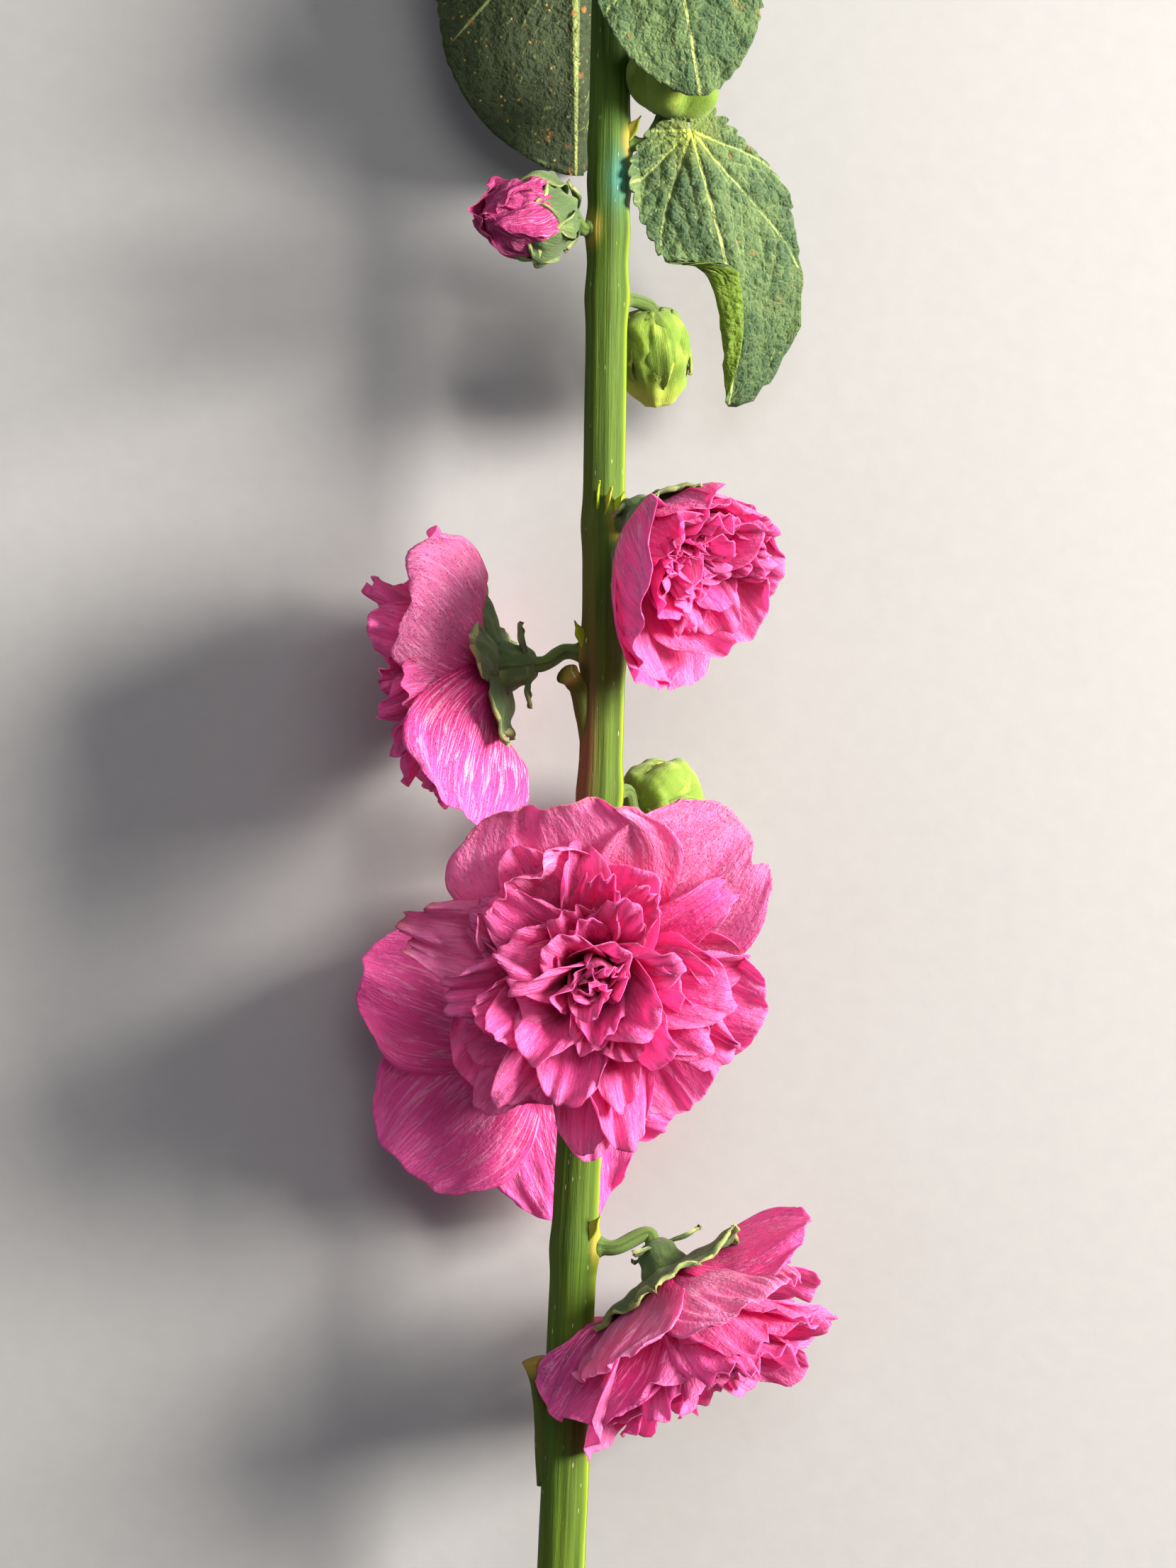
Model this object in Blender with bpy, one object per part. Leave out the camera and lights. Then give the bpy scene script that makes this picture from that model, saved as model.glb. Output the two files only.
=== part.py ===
"""A cut stem of a double pink hollyhock, laid down on its blooms and leaves.

The stem lies along +Y with its cut end at -Y, and +Z is up, away from the surface that
the stem lies on. Every length below is in millimetres in a layout frame, whose zero is
the middle of the stretch that shows its blooms; solid() turns it into metres about the
middle of the whole plant's box.

Each bloom has two solids: the green stalk with its calyx, and the petals, which grow
from one core inside the cup. A petal, a sepal and a bract are one kind of shape: a
sheet that follows a bent spine, with a width along it, a cupped cross-section and waves.
"""

import math
import random
from dataclasses import dataclass, replace

import bpy
import numpy as np
from mathutils import Matrix

MM = 0.001
BOX_CENTRE = np.array((3.3, 24.2, 0.0))

# Stem
STEM_HEIGHT = 40.0
STEM_LINE = [
    (-8.8, -226.0, STEM_HEIGHT),
    (-6.6, -190.0, STEM_HEIGHT),
    (-2.5, -95.0, STEM_HEIGHT),
    (2.9, 0.0, STEM_HEIGHT),
    (3.9, 76.0, STEM_HEIGHT),
    (4.8, 133.0, STEM_HEIGHT),
    (5.7, 190.0, STEM_HEIGHT),
    (6.4, 226.0, STEM_HEIGHT - 1.0),
    (8.2, 262.0, STEM_HEIGHT - 4.0),
]
STEM_RADIUS_CUT = 5.8
STEM_RADIUS_FRAME_TOP = 4.8
STEM_RADIUS_TIP = 2.0
FRAME_TOP = 190.0
STEM_SIDES = 12
STEM_STEP = 24.0
CUT_SLOPE = 0.45
NODE_SWELLING = 0.1
NODE_SPREAD = 5.0

# Sheets
BLADE = 0.8
TOUCH_GAP = 0.35
STEM_CLEARANCE = 2.5
SPINE_STEPS = 60
CURL_START = 0.76
CLAW_END = 0.35

# Bloom
GOLDEN_ANGLE = 137.508
CUP_FOOT = (2.3, -4.0)
CUP_FLOOR = (6.3, 0.0)
CUP_RIM = (8.0, 4.0)
COLLAR_FOOT = (1.6, -4.6)
COLLAR_RIM = (4.6, -3.0)
STALK_RADIUS = 1.9
STALK_SIDES = 6
STALK_RINGS = 5
CORE_SIDES = 8
GUARD_GRID = (4, 4)
RUFFLE_GRID = (2, 3)
SEPAL_ROWS = 3
BRACT_ROWS = 2
PRESSED_BELOW = 0.35
FLATNESS = 0.2
LEAST_HEIGHT = 0.02
LEAST_TURN = 0.6
GUARD_FOOT = 4.6

# Colours
PETAL_PINK = (0.86, 0.16, 0.42)
BUD_MAGENTA = (0.50, 0.03, 0.20)
STEM_GREEN = (0.22, 0.33, 0.05)
CALYX_GREEN = (0.20, 0.28, 0.08)
BUD_GREEN = (0.33, 0.43, 0.10)
LEAF_GREEN = (0.10, 0.23, 0.08)


@dataclass
class Petal:
    """A sheet on a bent spine, in the frame of what it grows from, whose axis is +Z."""

    turn: float
    length: float
    half_width: float
    lean: float = 35.0
    flare: float = 85.0
    foot_radius: float = 3.6
    foot_height: float = GUARD_FOOT
    opening: float = 0.6
    claw: float = 0.24
    taper: float = 0.15
    corner: float = 0.16
    cup: float = 20.0
    ruffle: float = 1.6
    waves: float = 2.2
    phase: float = 0.0
    curl: float = 0.0
    roll: float = 6.0
    twist: float = 0.0
    wrapped: float = 0.0


@dataclass
class Ring:
    """A ring of ruffles, which overlap like shingles round the bloom's axis."""

    count: int
    foot_radius: float
    foot_height: float
    lean: float
    flare: float
    length: float
    half_width: float


@dataclass
class Bloom:
    """A flower on its stalk: where its cup stands, where it faces, and its petals."""

    name: str
    stalk_at: tuple
    base: tuple
    facing: tuple
    guards: list
    rings: tuple
    seed: int
    ruffle_grid: tuple = RUFFLE_GRID
    spread: float = 1.0
    sepal_length: float = 19.0
    sepal_lean: float = 76.0
    sepal_flare: float = 108.0
    sepal_width: float = 8.4
    sepal_opening: float = 0.8
    bracts: int = 4
    bract_lean: float = 4.0
    bract_flare: float = 6.0
    fullness: float = 1.0
    core_radius: float = 6.4
    core_height: float = 11.5
    size: float = 1.0
    colour: tuple = PETAL_PINK


@dataclass
class Bud:
    """A closed green bud on its stalk."""

    name: str
    stalk_at: tuple
    base: tuple
    facing: tuple
    radius: float
    height: float
    bracts: int
    seed: int


@dataclass
class Leaf:
    """A leaf blade with veins spread from its foot, on a petiole."""

    name: str
    stalk_at: tuple
    base: tuple
    along: tuple
    face: tuple
    length: float
    broad: float
    droop: tuple
    fold: tuple
    wave: float
    seed: int
    knee: tuple


def smooth(x):
    """0 below 0, 1 above 1, and an even S between."""
    x = np.clip(x, 0.0, 1.0)
    return x * x * (3.0 - 2.0 * x)


def unit(vector):
    vector = np.asarray(vector, float)
    return vector / np.linalg.norm(vector)


def smooth_path(points, count):
    """Points on the Catmull-Rom curve through the given ones, count of them."""
    points = np.asarray(points, float)
    ends = np.vstack([2 * points[0] - points[1], points, 2 * points[-1] - points[-2]])
    spans = len(points) - 1
    made = []
    for value in np.linspace(0.0, spans, count):
        span = min(int(value), spans - 1)
        x = value - span
        a, b, c, d = ends[span : span + 4]
        made.append(
            0.5
            * (
                2 * b
                + (c - a) * x
                + (2 * a - 5 * b + 4 * c - d) * x**2
                + (3 * b - a - 3 * c + d) * x**3
            )
        )
    return np.array(made)


STEM_PATH = smooth_path(STEM_LINE, 241)


def stem_centre(v):
    return np.stack(
        [
            np.interp(v, STEM_PATH[:, 1], STEM_PATH[:, 0]),
            np.asarray(v, float),
            np.interp(v, STEM_PATH[:, 1], STEM_PATH[:, 2]),
        ],
        axis=-1,
    )


def stem_radius(v):
    return np.interp(
        v,
        [STEM_LINE[0][1], FRAME_TOP, STEM_LINE[-1][1]],
        [STEM_RADIUS_CUT, STEM_RADIUS_FRAME_TOP, STEM_RADIUS_TIP],
    )


def clear_of_stem(points):
    """The same sheet, with what would cut the stem raised over it or lowered under it."""
    centre = stem_centre(points[..., 1])
    away = points - centre
    need = stem_radius(points[..., 1]) * (1 + NODE_SWELLING) + STEM_CLEARANCE
    along = (STEM_LINE[0][1] - 4 < points[..., 1]) & (points[..., 1] < STEM_LINE[-1][1] + 4)
    inside = (np.hypot(away[..., 0], away[..., 2]) < need) & along
    if not inside.any():
        return points
    near = (np.abs(away[..., 0]) < 2 * need) & along
    side = 1.0 if away[..., 2][near].mean() > 0 else -1.0
    height = np.sqrt(np.maximum(need**2 - away[..., 0] ** 2, 0.0))
    moved = points.copy()
    moved[..., 2] = np.where(inside, centre[..., 2] + side * height, points[..., 2])
    return moved


def axes_of(facing):
    """Columns: right, up in the picture, and the axis itself, square to each other."""
    axis = unit(facing)
    up = np.array((0.0, 1.0, 0.0)) if abs(axis[1]) < 0.95 else np.array((0.0, 0.0, 1.0))
    up = unit(up - (up @ axis) * axis)
    return np.stack([np.cross(up, axis), up, axis], axis=1)


def petal_sheet(petal, grid):
    """The petal's middle surface: an array of points, foot to tip and side to side."""
    steps = np.linspace(0.0, 1.0, SPINE_STEPS)
    angle = petal.lean + (petal.flare - petal.lean) * steps**petal.opening
    angle = np.radians(angle + petal.curl * smooth((steps - CURL_START) / (1 - CURL_START)))
    middle = (angle[1:] + angle[:-1]) / 2
    step = petal.length / (SPINE_STEPS - 1)
    out = petal.foot_radius + np.concatenate([[0], np.cumsum(np.sin(middle))]) * step
    up = petal.foot_height + np.concatenate([[0], np.cumsum(np.cos(middle))]) * step

    s, t = np.meshgrid(
        np.linspace(0.0, 1.0, grid[0] + 1), np.linspace(-1.0, 1.0, grid[1] + 1), indexing="ij"
    )
    width = petal.claw + (1 - petal.claw) * np.sin(np.pi / 2 * np.minimum(s / 0.68, 1.0)) ** 0.85
    width = width * (1 - petal.taper * smooth((s - 0.55) / 0.45))
    reach = s * (1 - petal.corner * np.abs(t) ** 2.4 * s)
    x = t * width * petal.half_width
    theta = np.interp(reach, steps, angle)
    radius = np.interp(reach, steps, out)
    height = np.interp(reach, steps, up)

    round_foot = 1 - (1 - petal.wrapped) * smooth(s / CLAW_END)
    wrap = round_foot * np.cos(theta) / np.maximum(radius, 3.0)
    bend = np.radians(petal.cup) / petal.half_width + wrap + 1e-6
    side = np.sin(bend * x) / bend
    rise = (1 - np.cos(bend * x)) / bend
    wave = np.sin(2 * np.pi * (petal.waves * t / 2 + petal.phase + 0.25 * s))
    rise = rise + petal.ruffle * s**1.5 * (0.4 + 0.6 * np.abs(t)) * wave

    turn = math.radians(petal.turn)
    outward = np.array((math.cos(turn), math.sin(turn), 0.0))
    sideways = np.array((-math.sin(turn), math.cos(turn), 0.0))
    axis = np.array((0.0, 0.0, 1.0))
    inward = -np.cos(theta)[..., None] * outward + np.sin(theta)[..., None] * axis
    spin = np.radians(petal.roll * smooth(s / CLAW_END) + petal.twist * s)[..., None]
    across = sideways * np.cos(spin) + inward * np.sin(spin)
    normal = inward * np.cos(spin) - sideways * np.sin(spin)
    spine = radius[..., None] * outward + height[..., None] * axis
    return spine + across * side[..., None] + normal * rise[..., None]


def solid(name, points, faces):
    """A mesh object from layout points in millimetres."""
    mesh = bpy.data.meshes.new(name)
    mesh.from_pydata(((np.asarray(points) - BOX_CENTRE) * MM).tolist(), [], faces)
    piece = bpy.data.objects.new(name, mesh)
    bpy.context.scene.collection.objects.link(piece)
    return piece


def thicken(piece):
    """Gives an open surface the blade's thickness, half of it to each side."""
    both_sides = piece.modifiers.new("thickness", "SOLIDIFY")
    both_sides.thickness = BLADE * MM
    both_sides.offset = 0.0


def thick_sheet(name, sheet):
    """A blade of even thickness, split into triangles alike on both of its faces."""
    rows, columns = sheet.shape[:2]
    at = np.arange(rows * columns).reshape(rows, columns)
    faces = []
    for i in range(rows - 1):
        for j in range(columns - 1):
            a, b, c, d = at[i, j], at[i, j + 1], at[i + 1, j + 1], at[i + 1, j]
            pair = [(a, b, c), (a, c, d)] if (i + j) % 2 else [(a, b, d), (b, c, d)]
            faces += [[int(k) for k in face] for face in pair]
    piece = solid(name, sheet.reshape(-1, 3), faces)
    thicken(piece)
    return piece


def tube(name, path, radii, sides, slope=0.0):
    """A closed round tube along a path, with a flat end at each end."""
    path = np.asarray(path, float)
    radii = np.broadcast_to(radii, len(path))
    ahead = np.gradient(path, axis=0)
    right = None
    points = []
    for index, (centre, along) in enumerate(zip(path, ahead)):
        along = unit(along)
        if right is None:
            start = (1.0, 0.0, 0.0) if abs(along[0]) < 0.9 else (0.0, 0.0, 1.0)
            right = unit(np.cross(np.cross(along, start), along))
        right = unit(right - (right @ along) * along)
        up = np.cross(along, right)
        for k in range(sides):
            turn = 2 * math.pi * k / sides
            rim = (right * math.cos(turn) + up * math.sin(turn)) * radii[index]
            lift = along * (slope * rim[0] if index == 0 else 0.0)
            points.append(centre + rim + lift)
    return solid(name, points, ring_faces(len(path), sides))


def ring_faces(rings, sides):
    """Faces that join rings of points, one after the other, and close both ends."""
    faces = [list(range(sides))[::-1], list(range((rings - 1) * sides, rings * sides))]
    for i in range(rings - 1):
        for k in range(sides):
            after = (k + 1) % sides
            faces.append(
                [i * sides + k, i * sides + after, (i + 1) * sides + after, (i + 1) * sides + k]
            )
    return faces


def turned(name, profile, sides, base, axes, ribs=0, rib_depth=0.0):
    """A solid turned about an axis from (radius, height) pairs, none on the axis itself."""
    points = []
    for radius, height in profile:
        for k in range(sides):
            turn = 2 * math.pi * k / sides
            ribbed = radius * (1 + rib_depth * math.cos(ribs * turn))
            points.append((ribbed * math.cos(turn), ribbed * math.sin(turn), height))
    return solid(name, np.array(points) @ axes.T + base, ring_faces(len(profile), sides))


def material(name, colour, roughness):
    made = bpy.data.materials.new(name)
    made.use_nodes = True
    shader = made.node_tree.nodes["Principled BSDF"]
    shader.inputs["Base Color"].default_value = (*colour, 1.0)
    shader.inputs["Roughness"].default_value = roughness
    return made


def fuse(name, pieces, finish):
    """One object from pieces that grow into each other."""
    body, rest = pieces[0], pieces[1:]
    gathered = bpy.data.collections.new(name + "_pieces")
    bpy.context.scene.collection.children.link(gathered)
    for piece in rest:
        gathered.objects.link(piece)
    if rest:
        union = body.modifiers.new("grown together", "BOOLEAN")
        union.operation = "UNION"
        union.operand_type = "COLLECTION"
        union.collection = gathered
        union.solver = "MANIFOLD"
    graph = bpy.context.evaluated_depsgraph_get()
    mesh = bpy.data.meshes.new_from_object(body.evaluated_get(graph))
    trim(mesh)
    for vertex in mesh.vertices:
        if vertex.co.z < PRESSED_BELOW * MM:
            vertex.co.z = 0.0
    for piece in pieces:
        bpy.data.objects.remove(piece)
    bpy.data.collections.remove(gathered)
    made = bpy.data.objects.new(name, mesh)
    bpy.context.scene.collection.objects.link(made)
    keep_largest(made)
    mesh.materials.clear()
    mesh.materials.append(finish)
    mesh.shade_smooth()
    mesh.set_sharp_from_angle(angle=math.radians(35))
    return made


class Skin:
    """A closed skin of triangles, whose needless points can be merged into a neighbour."""

    def __init__(self, mesh):
        mesh.calc_loop_triangles()
        self.points = [vertex.co / MM for vertex in mesh.vertices]
        self.faces = {face.index: tuple(face.vertices) for face in mesh.loop_triangles}
        self.around = [set() for _ in self.points]
        for index, face in self.faces.items():
            for k in face:
                self.around[k].add(index)

    def neighbours(self, k):
        return {other for index in self.around[k] for other in self.faces[index]} - {k}

    def normal(self, face):
        """Twice the area along the face's normal, and the longest side."""
        a, b, c = (self.points[k] for k in face)
        return (b - a).cross(c - a), max((b - a).length, (c - b).length, (a - c).length)

    def can_merge(self, gone, kept):
        """Whether the skin keeps its form and stays closed when gone moves onto kept."""
        shared = self.around[gone] & self.around[kept]
        if len(shared) != 2 or len(self.neighbours(gone) & self.neighbours(kept)) != 2:
            return False
        step = self.points[kept] - self.points[gone]
        for index in self.around[gone]:
            before, _ = self.normal(self.faces[index])
            if before.length == 0 or abs(step.dot(before)) > FLATNESS * before.length:
                return False
            if index in shared:
                continue
            after, side = self.normal([kept if k == gone else k for k in self.faces[index]])
            if after.length < LEAST_HEIGHT * side:
                return False
            if before.dot(after) < LEAST_TURN * before.length * after.length:
                return False
        return True

    def merge(self, gone, kept):
        for index in list(self.around[gone]):
            face = self.faces[index]
            for k in face:
                self.around[k].discard(index)
            if kept in face:
                del self.faces[index]
                continue
            self.faces[index] = tuple(kept if k == gone else k for k in face)
            for k in self.faces[index]:
                self.around[k].add(index)


def trim(mesh):
    """Drops points that the skin doesn't need, most of which a union leaves behind."""
    skin = Skin(mesh)
    merged = True
    while merged:
        merged = False
        for gone in range(len(skin.points)):
            if not skin.around[gone]:
                continue
            near = sorted(
                skin.neighbours(gone), key=lambda k: (skin.points[k] - skin.points[gone]).length
            )
            kept = next((k for k in near if skin.can_merge(gone, k)), None)
            if kept is not None:
                skin.merge(gone, kept)
                merged = True
    used = sorted({k for face in skin.faces.values() for k in face})
    new_index = {k: index for index, k in enumerate(used)}
    faces = [[new_index[k] for k in face] for face in skin.faces.values()]
    mesh.clear_geometry()
    mesh.from_pydata([skin.points[k] * MM for k in used], [], faces)


def keep_largest(piece):
    """Drops loose scraps that a cut leaves, and keeps the body with the most points."""
    mesh = piece.data
    group = np.arange(len(mesh.vertices))
    edges = np.array([edge.vertices[:] for edge in mesh.edges])
    while True:
        low = np.minimum(group[edges[:, 0]], group[edges[:, 1]])
        before = group.copy()
        np.minimum.at(group, edges[:, 0], low)
        np.minimum.at(group, edges[:, 1], low)
        group = group[group]
        if (group == before).all():
            break
    names, counts = np.unique(group, return_counts=True)
    if len(names) == 1:
        return
    kept = group == names[counts.argmax()]
    new_index = np.cumsum(kept) - 1
    points = [vertex.co[:] for vertex, keep in zip(mesh.vertices, kept) if keep]
    faces = [
        [int(new_index[k]) for k in face.vertices]
        for face in mesh.polygons
        if kept[face.vertices[0]]
    ]
    mesh.clear_geometry()
    mesh.from_pydata(points, [], faces)


def stalk_path(bloom, foot_height):
    """From the stem's surface to the cup's foot, bending into the bloom's own axis."""
    start = stem_surface(*bloom.stalk_at)
    away = unit(start - stem_centre(start[1]))
    axis = unit(bloom.facing)
    end = np.array(bloom.base) + axis * foot_height
    span = np.linalg.norm(end - start)
    first = start + away * TOUCH_GAP
    points = [first, first + away * span * 0.3, end - axis * span * 0.3, end]
    return smooth_path(points, STALK_RINGS)


def stem_surface(v, turn):
    """A point on the stem's surface, turn degrees round it from +X towards +Z."""
    angle = math.radians(turn)
    out = np.array((math.cos(angle), 0.0, math.sin(angle)))
    return stem_centre(v) + out * stem_radius(v) * (1 + NODE_SWELLING)


def ruffles_of(bloom):
    """The crowded inner petals, ring by ring, varied by the bloom's own seed."""
    draw = random.Random(bloom.seed)
    size = bloom.size * bloom.fullness
    made = []
    for number, ring in enumerate(RINGS[k] for k in bloom.rings):
        start = number * GOLDEN_ANGLE + draw.uniform(0, 40)
        for index in range(ring.count):
            lean = ring.lean * bloom.spread
            flare = ring.flare * bloom.spread
            made.append(
                Petal(
                    turn=start + index * 360 / ring.count + draw.uniform(-7, 7),
                    length=ring.length * size * draw.uniform(0.88, 1.12),
                    half_width=ring.half_width * size * draw.uniform(0.78, 1.02),
                    lean=lean,
                    flare=flare + draw.uniform(-8, 8),
                    foot_radius=ring.foot_radius * bloom.size,
                    foot_height=ring.foot_height * bloom.size,
                    opening=1.0,
                    claw=0.24,
                    taper=0.25,
                    corner=0.2,
                    cup=draw.uniform(20, 76),
                    ruffle=draw.uniform(1.5, 3.0) * bloom.size,
                    waves=draw.uniform(1.5, 2.3),
                    phase=draw.random(),
                    curl=draw.uniform(-60, 60),
                    roll=draw.choice((-1, 1)) * draw.uniform(8, 46),
                    twist=draw.uniform(-40, 40),
                    wrapped=0.4,
                )
            )
    return made


def rested(points):
    """The same points, with those below the surface that the plant lies on pressed up to it."""
    points[..., 2] = np.maximum(points[..., 2], BLADE / 2)
    return points


def petal_piece(name, petal, grid, base, axes):
    points = petal_sheet(petal, grid) @ axes.T + base
    return thick_sheet(name, rested(clear_of_stem(points)))


def crown(name, rings, lobes, base, axes, rows, capped=True):
    """A thin cup whose rim grows into pointed lobes, two rim points to a lobe."""
    sides = 2 * len(lobes)
    start = math.radians(lobes[0].turn)
    points, faces = [], []
    for radius, height in rings:
        for k in range(sides):
            turn = start + 2 * math.pi * k / sides
            points.append((radius * math.cos(turn), radius * math.sin(turn), height))
    if capped:
        faces.append(list(range(sides))[::-1])
    for ring in range(len(rings) - 1):
        for k in range(sides):
            a, b = ring * sides + k, ring * sides + (k + 1) % sides
            faces += [(a, b, b + sides), (a, b + sides, a + sides)]
    rim = (len(rings) - 1) * sides
    for index, lobe in enumerate(lobes):
        sheet = petal_sheet(lobe, (rows, 2))
        right, middle, left = (rim + (2 * index + k) % sides for k in (-1, 0, 1))
        for row in range(1, rows):
            a = len(points)
            points += [*sheet[row]]
            faces += [(right, middle, a), (middle, a + 1, a)]
            faces += [(middle, left, a + 2), (middle, a + 2, a + 1)]
            right, middle, left = a, a + 1, a + 2
        points.append(sheet[rows][1])
        faces += [(right, middle, left + 1), (middle, left, left + 1)]
    placed = np.array([np.asarray(point, float) for point in points]) @ axes.T + base
    shell = solid(name, rested(clear_of_stem(placed)), faces)
    thicken(shell)
    return shell


def lobes_of(lobe, count, start, seed, spread=6.0):
    """Lobes like the given one, evenly turned, each a little longer or flatter."""
    draw = random.Random(seed)
    return [
        replace(
            lobe,
            turn=start + index * 360 / count,
            length=lobe.length * draw.uniform(0.88, 1.12),
            flare=lobe.flare + draw.uniform(-spread, spread),
            curl=draw.uniform(-16, 26),
            twist=draw.uniform(-8, 8),
        )
        for index in range(count)
    ]


def build_calyx(bloom):
    """Stalk, cup with five sepals, and the collar of narrower bracts outside it."""
    axes, base = axes_of(bloom.facing), np.array(bloom.base)
    size = bloom.size
    sepal = Petal(
        turn=0.0,
        length=bloom.sepal_length,
        half_width=bloom.sepal_width * size,
        lean=bloom.sepal_lean,
        flare=bloom.sepal_flare,
        foot_radius=CUP_RIM[0] * size,
        foot_height=CUP_RIM[1] * size,
        opening=bloom.sepal_opening,
        claw=0.72,
        taper=0.5,
        cup=14.0,
        ruffle=0.0,
        roll=0.0,
    )
    bract = replace(
        sepal,
        length=bloom.sepal_length * 0.62,
        half_width=2.8 * size,
        lean=bloom.sepal_lean + bloom.bract_lean,
        flare=bloom.sepal_flare + bloom.bract_flare,
        foot_radius=COLLAR_RIM[0] * size,
        foot_height=COLLAR_RIM[1] * size,
        cup=8.0,
    )
    scaled = [(radius * size, height * size) for radius, height in (CUP_FOOT, CUP_FLOOR, CUP_RIM)]
    sepals = lobes_of(sepal, 5, 18, bloom.seed)
    pieces = [crown("cup", scaled, sepals, base, axes, SEPAL_ROWS)]
    scaled = [(radius * size, height * size) for radius, height in (COLLAR_FOOT, COLLAR_RIM)]
    bracts = lobes_of(bract, bloom.bracts, 54, bloom.seed + 1, 10.0)
    pieces.append(crown("collar", scaled, bracts, base, axes, BRACT_ROWS, capped=False))
    path = stalk_path(bloom, CUP_FOOT[1] * size)
    pieces.append(tube("stalk", path, STALK_RADIUS * size**0.5, STALK_SIDES))
    return fuse(bloom.name + "_calyx", pieces, FINISHES["calyx"])


def build_petals(bloom):
    """The guard petals and the ruffles within, all grown from one core in the cup."""
    axes, base = axes_of(bloom.facing), np.array(bloom.base)
    size, wide, high = bloom.size, bloom.core_radius, bloom.core_height
    gap = (BLADE / 2 + TOUCH_GAP) * 1.4
    profile = [
        (CUP_FOOT[0] * size - 0.4 * gap, CUP_FOOT[1] * size + gap),
        (CUP_FLOOR[0] * size - gap, CUP_FLOOR[1] * size + 0.4 * gap),
        (CUP_RIM[0] * size - 1.2 * gap, CUP_RIM[1] * size + 0.3),
        (wide * size, (CUP_RIM[1] + 0.5 * (high - CUP_RIM[1])) * size),
        (wide * 0.45 * size, high * size),
    ]
    pieces = [turned("core", profile, CORE_SIDES, base, axes)]
    pieces += [petal_piece("guard", p, GUARD_GRID, base, axes) for p in bloom.guards]
    for petal in ruffles_of(bloom):
        pieces.append(petal_piece("ruffle", petal, bloom.ruffle_grid, base, axes))
    return fuse(bloom.name + "_petals", pieces, FINISHES[bloom.name])


RINGS = [
    Ring(3, 2.0, 8.5, 3, 8, 24, 9),
    Ring(5, 3.6, 8.0, 16, 26, 27, 11),
    Ring(7, 4.6, 7.0, 32, 48, 31, 12.5),
    Ring(8, 4.8, 5.8, 50, 72, 34, 13),
]

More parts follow.
